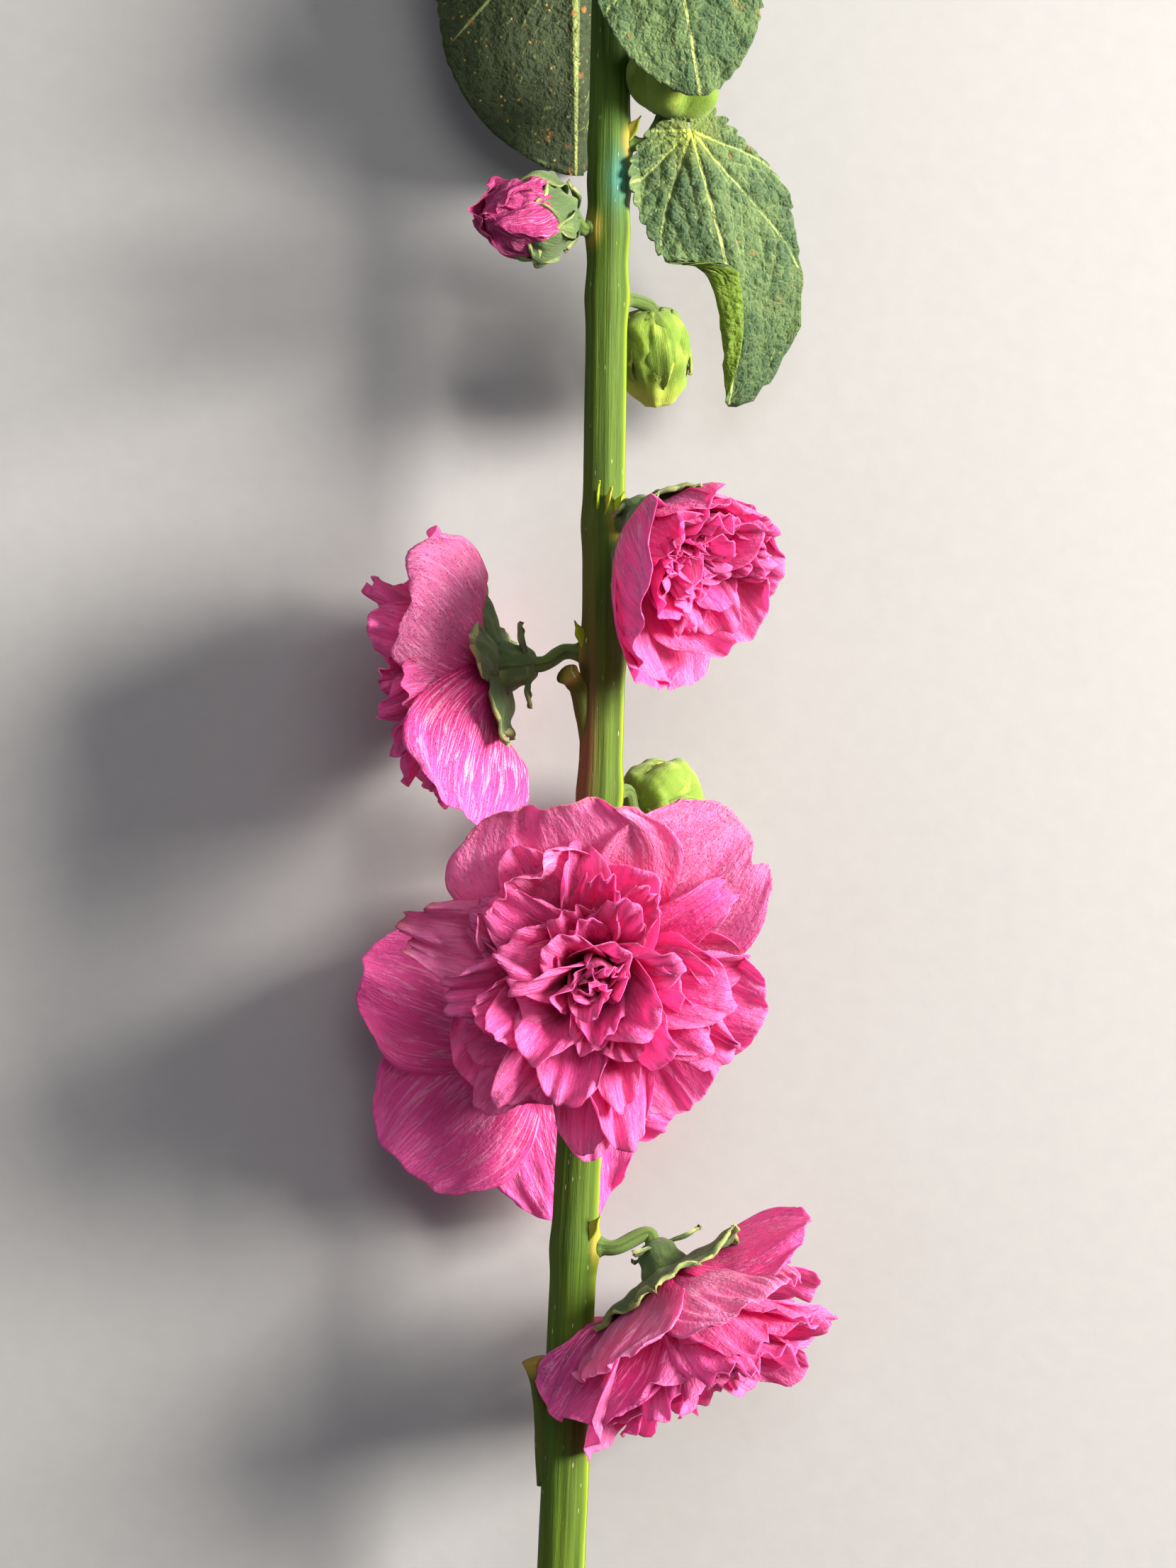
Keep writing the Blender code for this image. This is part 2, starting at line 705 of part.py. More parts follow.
BLOOMS = [
    Bloom(
        name="front_bloom",
        stalk_at=(-40.0, 90.0),
        base=(1.5, -42.0, 56.0),
        facing=(-0.03, -0.2, 0.98),
        guards=[
            Petal(112, 43, 27, lean=66, flare=76, curl=-24, cup=12, ruffle=1.8, phase=0.1),
            Petal(42, 50, 25, lean=68, flare=86, curl=30, cup=16, ruffle=2.4, phase=0.6),
            Petal(-14, 43, 19, lean=70, flare=96, curl=-20, cup=18, ruffle=2.4, phase=0.3),
            Petal(-54, 43, 19, lean=68, flare=98, curl=-30, cup=20, ruffle=2.4, phase=0.8),
            Petal(-98, 47, 13, lean=66, flare=90, curl=-10, cup=20, ruffle=1.2, phase=0.2),
            Petal(-142, 40, 19, lean=68, flare=94, curl=-10, cup=18, ruffle=2.0, phase=0.5),
            Petal(168, 47, 24, lean=68, flare=86, curl=36, cup=10, ruffle=2.6, phase=0.9),
        ],
        rings=(0, 1, 2, 3),
        seed=11,
    ),
    Bloom(
        name="back_bloom",
        stalk_at=(-56.0, 250.0),
        base=(-12.0, -62.0, 26.5),
        facing=(-0.22, -0.10, -0.97),
        guards=[
            Petal(100, 36, 22, lean=66, flare=92, curl=10, cup=12, ruffle=1.8, phase=0.1),
            Petal(22, 42, 20, lean=66, flare=92, curl=10, cup=16, ruffle=2.6, phase=0.6),
            Petal(-42, 42, 23, lean=68, flare=88, curl=-8, cup=16, ruffle=2.2, phase=0.3),
            Petal(-110, 44, 23, lean=68, flare=94, curl=-8, cup=16, ruffle=1.8, phase=0.8),
            Petal(172, 36, 20, lean=66, flare=94, curl=8, cup=12, ruffle=1.6, phase=0.9),
        ],
        rings=(1, 2),
        seed=23,
        ruffle_grid=(2, 2),
        spread=1.1,
    ),
    Bloom(
        name="left_bloom",
        stalk_at=(32.0, 190.0),
        base=(-17.0, 28.5, 41.5),
        facing=(-0.97, -0.10, -0.20),
        guards=[
            Petal(46, 38, 24, lean=52, flare=58, curl=-30, cup=30, ruffle=1.8, roll=-34),
            Petal(-60, 42, 23, lean=54, flare=88, curl=-24, cup=26, ruffle=1.4, roll=24),
            Petal(104, 40, 21, lean=54, flare=62, curl=-26, cup=24, ruffle=2.4, phase=0.3),
            Petal(-132, 38, 21, lean=50, flare=70, curl=-16, cup=22, ruffle=2.0, phase=0.8),
            Petal(168, 40, 22, lean=56, flare=80, curl=-10, cup=22, ruffle=2.0, phase=0.5),
        ],
        rings=(0, 2),
        seed=37,
        spread=0.85,
        sepal_lean=80.0,
        sepal_flare=112.0,
    ),
    Bloom(
        name="right_bloom",
        stalk_at=(63.0, 40.0),
        base=(12.6, 63.5, 54.0),
        facing=(0.60, -0.58, 0.54),
        guards=[
            Petal(214, 41, 21, lean=42, flare=36, curl=-24, cup=48, ruffle=1.2, phase=0.1),
            Petal(140, 36, 20, lean=38, flare=24, curl=-50, cup=44, ruffle=1.8, phase=0.6),
            Petal(68, 38, 20, lean=40, flare=36, curl=36, cup=40, ruffle=2.0, phase=0.3),
            Petal(-6, 39, 20, lean=40, flare=44, curl=10, cup=40, ruffle=2.0, phase=0.8),
            Petal(-74, 38, 20, lean=42, flare=48, curl=-10, cup=40, ruffle=1.8, phase=0.5),
        ],
        rings=(1, 2),
        seed=41,
        spread=0.55,
        sepal_length=15.5,
        sepal_lean=58.0,
        sepal_flare=46.0,
    ),
    Bloom(
        name="lower_bloom",
        stalk_at=(-112.0, 8.0),
        base=(17.5, -115.0, 41.0),
        facing=(0.42, -0.63, 0.62),
        guards=[
            Petal(178, 42, 22, lean=56, flare=60, curl=58, cup=18, ruffle=2.0, phase=0.1),
            Petal(124, 43, 23, lean=54, flare=62, curl=46, cup=16, ruffle=2.2, phase=0.6),
            Petal(66, 44, 23, lean=58, flare=76, curl=-20, cup=20, ruffle=2.4, phase=0.3),
            Petal(236, 42, 22, lean=58, flare=84, curl=-10, cup=26, ruffle=1.6, phase=0.8),
            Petal(-66, 42, 22, lean=58, flare=84, curl=-14, cup=22, ruffle=2.2, phase=0.5),
            Petal(18, 42, 22, lean=58, flare=80, curl=-10, cup=20, ruffle=2.2, phase=0.7),
            Petal(-26, 52, 18, lean=66, flare=122, curl=-10, cup=14, ruffle=1.8, phase=0.2),
        ],
        rings=(0, 1, 2),
        seed=53,
        spread=1.0,
        fullness=1.16,
    ),
    Bloom(
        name="opening_bud",
        stalk_at=(134.0, 150.0),
        base=(-8.4, 138.0, 46.5),
        facing=(-0.70, -0.10, 0.70),
        guards=[
            Petal(34, 26, 12, lean=78, flare=-56, cup=64, ruffle=0.9, phase=0.1),
            Petal(-38, 25, 12, lean=78, flare=-60, cup=64, ruffle=0.9, phase=0.6),
            Petal(-110, 26, 12, lean=78, flare=-52, cup=60, ruffle=1.1, phase=0.3),
            Petal(178, 27, 12, lean=78, flare=-50, cup=60, ruffle=1.1, phase=0.8),
            Petal(106, 26, 12, lean=78, flare=-56, cup=64, ruffle=0.9, phase=0.5),
        ],
        rings=(),
        seed=67,
        spread=0.5,
        sepal_length=21.0,
        sepal_lean=88.0,
        sepal_flare=-20.0,
        sepal_width=9.6,
        sepal_opening=0.7,
        bract_lean=8.0,
        bract_flare=60.0,
        size=0.72,
        core_radius=12.0,
        core_height=20.0,
        colour=BUD_MAGENTA,
    ),
]

BUDS = [
    Bud(
        name="bud_behind_front_bloom",
        stalk_at=(-2.0, 318.0),
        base=(13.0, -6.0, 28.0),
        facing=(0.62, 0.34, -0.66),
        radius=10.0,
        height=19.0,
        bracts=3,
        seed=71,
    ),
    Bud(
        name="bud_below_leaf",
        stalk_at=(120.0, 330.0),
        base=(17.0, 111.5, 32.0),
        facing=(0.12, -0.91, -0.40),
        radius=8.6,
        height=23.0,
        bracts=4,
        seed=73,
    ),
    Bud(
        name="bud_under_top_leaf",
        stalk_at=(155.0, 10.0),
        base=(20.5, 162.5, 39.0),
        facing=(0.26, 0.92, 0.26),
        radius=11.8,
        height=18.0,
        bracts=0,
        seed=79,
    ),
    Bud(
        name="upper_bud_left",
        stalk_at=(214.0, 170.0),
        base=(-3.5, 222.0, 41.5),
        facing=(-0.62, 0.74, 0.26),
        radius=7.5,
        height=15.0,
        bracts=0,
        seed=83,
    ),
    Bud(
        name="upper_bud_right",
        stalk_at=(236.0, 20.0),
        base=(14.0, 243.0, 42.0),
        facing=(0.58, 0.76, 0.28),
        radius=6.0,
        height=12.5,
        bracts=0,
        seed=89,
    ),
    Bud(
        name="tip_bud",
        stalk_at=None,
        base=(8.3, 263.7, 35.8),
        facing=(0.08, 0.98, -0.16),
        radius=5.6,
        height=13.0,
        bracts=0,
        seed=97,
    ),
]

LEAVES = [
    Leaf(
        "leaf_right",
        stalk_at=(146.0, 330.0),
        knee=(16.5, 149.0, 36.5),
        base=(25.0, 148.5, 44.5),
        along=(0.26, -0.90, -0.30),
        face=(0.20, -0.24, 0.95),
        length=71.0,
        broad=0.95,
        droop=(-10.0, 30.0),
        fold=((8.0, 80.0), (12.0, 6.0)),
        wave=1.6,
        seed=5,
    ),
    Leaf(
        "leaf_top_right",
        stalk_at=(228.0, 60.0),
        knee=(12.0, 226.0, 56.0),
        base=(17.5, 210.0, 63.0),
        along=(0.20, -0.97, -0.05),
        face=(0.10, -0.06, 0.99),
        length=50.0,
        broad=1.35,
        droop=(-8.0, 16.0),
        fold=((-8.0, 10.0), (-8.0, 10.0)),
        wave=1.5,
        seed=6,
    ),
    Leaf(
        "leaf_top_left",
        stalk_at=(224.0, 235.0),
        knee=(0.0, 226.0, 26.0),
        base=(-3.0, 217.0, 25.0),
        along=(0.0, -0.97, -0.20),
        face=(0.0, 0.20, -0.97),
        length=70.0,
        broad=1.6,
        droop=(-4.0, 6.0),
        fold=((-60.0, -70.0), (4.0, 10.0)),
        wave=1.6,
        seed=7,
    ),
]

LEAF_REACH = {0: 1.0, 13: 0.82, 26: 0.64, 40: 0.47, 58: 0.38, 78: 0.33, 104: 0.25, 138: 0.19}
LEAF_STEPS = 32
LEAF_RINGS = 3
LEAF_TOOTH = 0.03
PETIOLE_RISE = 3.0
FOLD_SOFTNESS = 5.0


def leaf_plan(length, broad):
    """The flat blade: points from the foot outwards, and triangles between them."""
    widest = max(LEAF_REACH)
    angles = np.linspace(-widest, widest, LEAF_STEPS + 1)
    reach = length * np.interp(np.abs(angles), list(LEAF_REACH), list(LEAF_REACH.values()))
    tooth = np.where(np.arange(LEAF_STEPS + 1) % 2, LEAF_TOOTH, -LEAF_TOOTH)
    points, faces = [(0.0, 0.0)], []
    for ring in range(1, LEAF_RINGS + 1):
        far = reach * ring / LEAF_RINGS * (1 + tooth * (ring == LEAF_RINGS))
        turn = np.radians(angles)
        points += list(zip(broad * far * np.sin(turn), far * np.cos(turn)))
    row = LEAF_STEPS + 1
    for index in range(LEAF_STEPS):
        faces.append([0, 2 + index, 1 + index])
        for ring in range(LEAF_RINGS - 1):
            a = 1 + ring * row + index
            b, c, d = a + 1, a + row + 1, a + row
            faces += [[a, b, c], [a, c, d]] if index < LEAF_STEPS // 2 else [[a, b, d], [b, c, d]]
    return np.array(points), faces


def leaf_sheet(leaf, flat):
    """The flat blade bent along its midrib, each half folded about it, and waved."""
    along = unit(leaf.along)
    normal = unit(np.array(leaf.face) - (np.array(leaf.face) @ along) * along)
    sideways = np.cross(normal, along)
    x, y = flat[:, 0], flat[:, 1]
    share = y / leaf.length
    steps = np.linspace(-0.6, 1.0, 81)
    angle = np.radians(leaf.droop[0] + (leaf.droop[1] - leaf.droop[0]) * np.clip(steps, 0, 1))
    forward = np.cumsum(np.cos(angle)) * (steps[1] - steps[0])
    down = np.cumsum(np.sin(angle)) * (steps[1] - steps[0])
    ahead = (np.interp(share, steps, forward) - np.interp(0.0, steps, forward)) * leaf.length
    drop = (np.interp(share, steps, down) - np.interp(0.0, steps, down)) * leaf.length
    left, right = leaf.fold
    later = smooth((share - 0.2) / 0.4)
    fold = np.where(
        x < 0,
        left[0] + (left[1] - left[0]) * later,
        right[0] + (right[1] - right[0]) * later,
    )
    fold = np.radians(fold) * smooth(np.abs(x) / FOLD_SOFTNESS)
    draw = random.Random(leaf.seed)
    edge = (np.hypot(x, y) / leaf.length) ** 2
    wave = leaf.wave * edge * np.sin(np.arctan2(x, y) * 6 + draw.uniform(0, 6.28))
    side = x * np.cos(fold)
    rise = -np.abs(x) * np.sin(fold) - drop + wave
    return (
        np.array(leaf.base)
        + ahead[:, None] * along
        + side[:, None] * sideways
        + rise[:, None] * normal
    )


def build_leaf(leaf):
    """Blade and petiole, the blade's edge cut into teeth."""
    flat, faces = leaf_plan(leaf.length, leaf.broad)
    sheet = leaf_sheet(leaf, flat)
    blade = solid("blade", rested(clear_of_stem(sheet)), faces)
    thicken(blade)
    along = unit(leaf.along)
    normal = unit(np.array(leaf.face) - (np.array(leaf.face) @ along) * along)
    start = stem_surface(*leaf.stalk_at)
    away = unit(start - stem_centre(start[1]))
    foot = [start + away * TOUCH_GAP, start + away * PETIOLE_RISE]
    path = smooth_path([*foot, leaf.knee, sheet[0] + along * 2.5 - normal * 0.5], 7)
    petiole = tube("petiole", path, np.linspace(1.7, 1.2, 7), 5)
    return fuse(leaf.name, [blade, petiole], FINISHES["leaf"])


def build_bud(bud):
    """A bud of five ribs, closed over its petals, on a short stalk with bracts."""
    axes, base = axes_of(bud.facing), np.array(bud.base)
    r, h = bud.radius, bud.height
    profile = [
        (r * 0.30, -0.08 * h),
        (r * 0.84, 0.12 * h),
        (r * 1.0, 0.42 * h),
        (r * 0.74, 0.74 * h),
        (r * 0.2, h),
    ]
    pieces = [turned("body", profile, 10, base, axes, ribs=5, rib_depth=0.09)]
    if bud.bracts:
        bract = Petal(
            turn=0.0,
            length=h * 0.8,
            half_width=r * 0.36,
            lean=60.0,
            flare=-12.0,
            foot_radius=r * 0.66,
            foot_height=-0.02 * h,
            opening=0.4,
            claw=0.9,
            taper=0.3,
            cup=20.0,
            ruffle=0.0,
            roll=0.0,
        )
        rings = [(r * 0.2, -0.02 * h), (r * 0.66, -0.02 * h)]
        bracts = lobes_of(bract, bud.bracts, 75, bud.seed)
        pieces.append(crown("bracts", rings, bracts, base, axes, BRACT_ROWS, capped=False))
    if bud.stalk_at:
        pieces.append(tube("stalk", stalk_path(bud, 0.0), STALK_RADIUS * 0.9, STALK_SIDES))
    return fuse(bud.name, pieces, FINISHES["bud"])


STUMPS = [
    [(-10.6, -170.0, 39.5), (-11.0, -154.0, 39.5), (-11.6, -146.0, 39.6), (-13.4, -139.5, 39.8)],
    [(0.0, 10.0, 41.0), (-1.6, 20.0, 42.4), (-2.8, 24.0, 44.0), (-5.0, 26.6, 46.4)],
]
STIPULES = [(67.0, 84.0), (66.0, 62.0), (68.5, 104.0), (35.0, 150.0), (-108.0, 52.0), (157.0, 30.0)]


def build_stem():
    """The stem with its swollen nodes, stumps of fallen leaves and pointed stipules."""
    nodes = [thing.stalk_at[0] for thing in [*BLOOMS, *BUDS, *LEAVES] if thing.stalk_at]
    stops = sorted({STEM_LINE[0][1], *nodes, STEM_LINE[-1][1]})
    v = [stops[0]]
    for low, high in zip(stops, stops[1:]):
        count = 2 * math.ceil((high - low) / (2 * STEM_STEP)) if high - low > NODE_SPREAD else 1
        v += list(np.linspace(low, high, count + 1)[1:])
    v = np.array(v)
    near = np.min([np.abs(v - node) for node in nodes], axis=0)
    radii = stem_radius(v) * (1 + NODE_SWELLING * np.exp(-((near / NODE_SPREAD) ** 2)))
    pieces = [tube("shaft", stem_centre(v), radii, STEM_SIDES, slope=CUT_SLOPE)]
    for points in STUMPS:
        pieces.append(tube("stump", smooth_path(points, 5), np.linspace(1.9, 2.5, 5), 6))
    for v_at, turn in STIPULES:
        foot = stem_surface(v_at, turn)
        away = unit(foot - stem_centre(v_at))
        axes = axes_of(unit(away * 0.55 + np.array((0.0, 0.85, 0.0))))
        stipule = Petal(
            turn=0.0,
            length=7.5,
            half_width=1.6,
            lean=0,
            flare=14,
            foot_radius=0.0,
            foot_height=-2.2,
            claw=0.8,
            taper=0.85,
            corner=0.0,
            cup=20,
            ruffle=0.0,
        )
        points = petal_sheet(stipule, (2, 1)) @ axes.T + foot
        pieces.append(thick_sheet("stipule", points))
    return fuse("stem", pieces, FINISHES["stem"])


def main():
    for thing in list(bpy.data.objects):
        bpy.data.objects.remove(thing)
    FINISHES["stem"] = material("stem", STEM_GREEN, 0.45)
    FINISHES["calyx"] = material("calyx", CALYX_GREEN, 0.6)
    FINISHES["bud"] = material("bud", BUD_GREEN, 0.55)
    FINISHES["leaf"] = material("leaf", LEAF_GREEN, 0.55)
    build_stem()
    for bloom in BLOOMS:
        FINISHES[bloom.name] = material(bloom.name, bloom.colour, 0.5)
        build_calyx(bloom)
        build_petals(bloom)
    for bud in BUDS:
        build_bud(bud)
    for leaf in LEAVES:
        build_leaf(leaf)


FINISHES = {}
main()
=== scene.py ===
"""The finished look of a cut stem of double pink hollyhock, laid down on its blooms.

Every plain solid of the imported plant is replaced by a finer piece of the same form: thin
crumpled petals, veined leaves, ribbed buds. Lengths are in millimetres in the plant's own
layout, whose zero is the middle of the stretch that shows its blooms; Skin.build() turns
them into metres about the middle of the whole plant's box.
"""

import logging
import math
import random
from dataclasses import dataclass, field, replace
from enum import Enum
from typing import Any

import bpy
import numpy as np
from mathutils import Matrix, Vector

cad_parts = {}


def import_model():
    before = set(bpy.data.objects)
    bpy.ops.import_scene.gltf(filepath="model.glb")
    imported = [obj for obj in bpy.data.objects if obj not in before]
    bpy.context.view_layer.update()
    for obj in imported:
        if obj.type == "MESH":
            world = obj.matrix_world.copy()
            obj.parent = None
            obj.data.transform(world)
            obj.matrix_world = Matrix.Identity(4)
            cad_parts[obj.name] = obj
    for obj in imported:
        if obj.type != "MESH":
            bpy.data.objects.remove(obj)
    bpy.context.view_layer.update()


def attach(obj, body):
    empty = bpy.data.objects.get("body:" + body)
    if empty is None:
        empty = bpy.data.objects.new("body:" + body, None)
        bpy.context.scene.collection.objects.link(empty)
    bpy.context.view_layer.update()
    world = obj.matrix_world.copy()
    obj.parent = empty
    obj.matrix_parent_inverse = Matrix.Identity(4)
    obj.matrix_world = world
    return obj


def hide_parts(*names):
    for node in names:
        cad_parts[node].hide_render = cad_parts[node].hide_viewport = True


Array = np.ndarray
Triple = tuple[float, float, float]

MM = 0.001
BOX_CENTRE = np.array((3.3, 24.2, 0.0))
BODY = "root"
TURN = 2 * math.pi
GOLDEN_ANGLE = 137.508

log = logging.getLogger("hollyhock")

# Curves, directions and seeded noise.


def smooth(x: Array | float) -> Array:
    """Ease from 0 to 1 in an even S.

    Args:
        x: Where on the way, below 0 and above 1 counting as the ends.

    Returns:
        The eased share.
    """
    x = np.clip(x, 0.0, 1.0)
    return x * x * (3.0 - 2.0 * x)


def late(x: Any, start: float) -> Array:
    """Ease from 0 at a start to 1 at the end, where x is 1."""
    return smooth((x - start) / (1 - start))


def bell(x: Any, width: float) -> Array:
    """A bell curve, 1 where x is 0."""
    return np.exp(-((x / width) ** 2))


def unit(vector: Any) -> Array:
    """The vector at length one."""
    vector = np.asarray(vector, float)
    return vector / np.linalg.norm(vector)


def smooth_path(points: Any, count: int) -> Array:
    """Run a soft curve through some points.

    Args:
        points: The points to pass through.
        count: How many points the curve gets.

    Returns:
        Points on the curve.
    """
    points = np.asarray(points, float)
    ends = np.vstack([2 * points[0] - points[1], points, 2 * points[-1] - points[-2]])
    spans = len(points) - 1
    value = np.linspace(0.0, spans, count)
    span = np.minimum(value.astype(int), spans - 1)
    x = (value - span)[:, None]
    a, b, c, d = (ends[span + k] for k in range(4))
    cubic = 3 * b - a - 3 * c + d
    return 0.5 * (2 * b + (c - a) * x + (2 * a - 5 * b + 4 * c - d) * x**2 + cubic * x**3)


def axes_of(facing: Any) -> Array:
    """Give the frame of what grows along a direction.

    Args:
        facing: The direction.

    Returns:
        Columns right, up in the picture, and the direction itself.
    """
    axis = unit(facing)
    up = np.array((0.0, 1.0, 0.0)) if abs(axis[1]) < 0.95 else np.array((0.0, 0.0, 1.0))
    up = unit(up - (up @ axis) * axis)
    return np.stack([np.cross(up, axis), up, axis], axis=1)


class Crumple:
    """Smooth seeded noise over a flat sheet, from -1 to 1."""

    SIDE = 64

    def __init__(self, seed: int) -> None:
        """Draw the noise's table from a seed."""
        self.table = np.random.default_rng(seed).uniform(-1, 1, (self.SIDE, self.SIDE))

    def at(self, x: Array, y: Array) -> Array:
        """Read the noise.

        Args:
            x: Across, in units of one bump.
            y: Along, in the same units.

        Returns:
            A height for each place.
        """
        x, y = np.broadcast_arrays(np.asarray(x, float), np.asarray(y, float))
        i, j = np.floor(x).astype(int), np.floor(y).astype(int)
        u, v = smooth(x - i), smooth(y - j)
        side, table = self.SIDE, self.table
        near, far = i % side, (i + 1) % side
        low, high = j % side, (j + 1) % side
        first = table[near, low] * (1 - u) + table[far, low] * u
        second = table[near, high] * (1 - u) + table[far, high] * u
        return first * (1 - v) + second * v

    def layered(self, x: Array, y: Array, layers: int = 3) -> Array:
        """Sum finer and finer bumps.

        Args:
            x: Across, in units of the broadest bump.
            y: Along, in the same units.
            layers: How many sizes of bump.

        Returns:
            A height for each place, mostly within -1 to 1.
        """
        total = np.zeros(np.broadcast(x, y).shape)
        for layer in range(layers):
            scale = 2.0**layer
            total += self.at(x * scale + 17 * layer, y * scale + 5 * layer) / scale
        return total / 1.5


# The stem, and how everything else keeps clear of it.

STEM_HEIGHT = 40.0
STEM_LINE = [
    (-8.8, -226.0, STEM_HEIGHT),
    (-6.6, -190.0, STEM_HEIGHT),
    (-2.5, -95.0, STEM_HEIGHT),
    (2.9, 0.0, STEM_HEIGHT),
    (3.9, 76.0, STEM_HEIGHT),
    (4.8, 133.0, STEM_HEIGHT),
    (5.7, 190.0, STEM_HEIGHT),
    (6.4, 226.0, STEM_HEIGHT - 1.0),
    (8.2, 262.0, STEM_HEIGHT - 4.0),
]
STEM_PATH = smooth_path(STEM_LINE, 241)
STEM_RADII = ((-226.0, 190.0, 262.0), (5.8, 4.8, 2.0))
NODE_SWELLING = 0.1
NODE_SPREAD = 5.0
STEM_CLEARANCE = 2.2
PETAL_PRESS = 0.25
TUBE_PRESS = 0.1


def stem_centre(v: Array | float) -> Array:
    """Find the stem's middle.

    Args:
        v: How far up the stem.

    Returns:
        The point there.
    """
    x, z = (np.interp(v, STEM_PATH[:, 1], STEM_PATH[:, k]) for k in (0, 2))
    return np.stack([x, np.asarray(v, float), z], axis=-1)


def stem_radius(v: Array | float) -> Array:
    """The stem's plain radius at a height v up the stem."""
    return np.interp(v, *STEM_RADII)


def stem_surface(v: float, turn: float, sink: float = 0.0) -> Array:
    """Find a point on the stem's skin.

    Args:
        v: How far up the stem.
        turn: Degrees round it, from +X towards +Z.
        sink: How deep below the skin.

    Returns:
        The point.
    """
    angle = math.radians(turn)
    out = np.array((math.cos(angle), 0.0, math.sin(angle)))
    return stem_centre(v) + out * (stem_radius(v) * (1 + NODE_SWELLING) - sink)


def clear_of_stem(points: Array) -> Array:
    """Keep a sheet out of the stem.

    Args:
        points: The sheet.

    Returns:
        The same sheet, with what would cut the stem raised over it or lowered under it.
    """
    centre = stem_centre(points[..., 1])
    away = points - centre
    need = stem_radius(points[..., 1]) * (1 + NODE_SWELLING) + STEM_CLEARANCE
    along = (STEM_LINE[0][1] - 4 < points[..., 1]) & (points[..., 1] < STEM_LINE[-1][1] + 4)
    inside = (np.hypot(away[..., 0], away[..., 2]) < need) & along
    if not inside.any():
        return points
    near = (np.abs(away[..., 0]) < 2 * need) & along
    side = 1.0 if away[..., 2][near].mean() > 0 else -1.0
    height = np.sqrt(np.maximum(need**2 - away[..., 0] ** 2, 0.0))
    moved = points.copy()
    moved[..., 2] = np.where(inside, centre[..., 2] + side * height, points[..., 2])
    return moved


def rested(points: Array, least: float = PETAL_PRESS) -> Array:
    """Press a sheet up to the surface that the plant lies on.

    Args:
        points: The sheet, changed in place.
        least: The lowest height that its middle may have.

    Returns:
        The same array.
    """
    points[..., 2] = np.maximum(points[..., 2], least)
    return points


# Meshes made of closed sheets and tubes.


@dataclass
class Sheet:
    """A grid of points with what its finish reads at each of them."""

    points: Array
    grain: Array
    place: Array


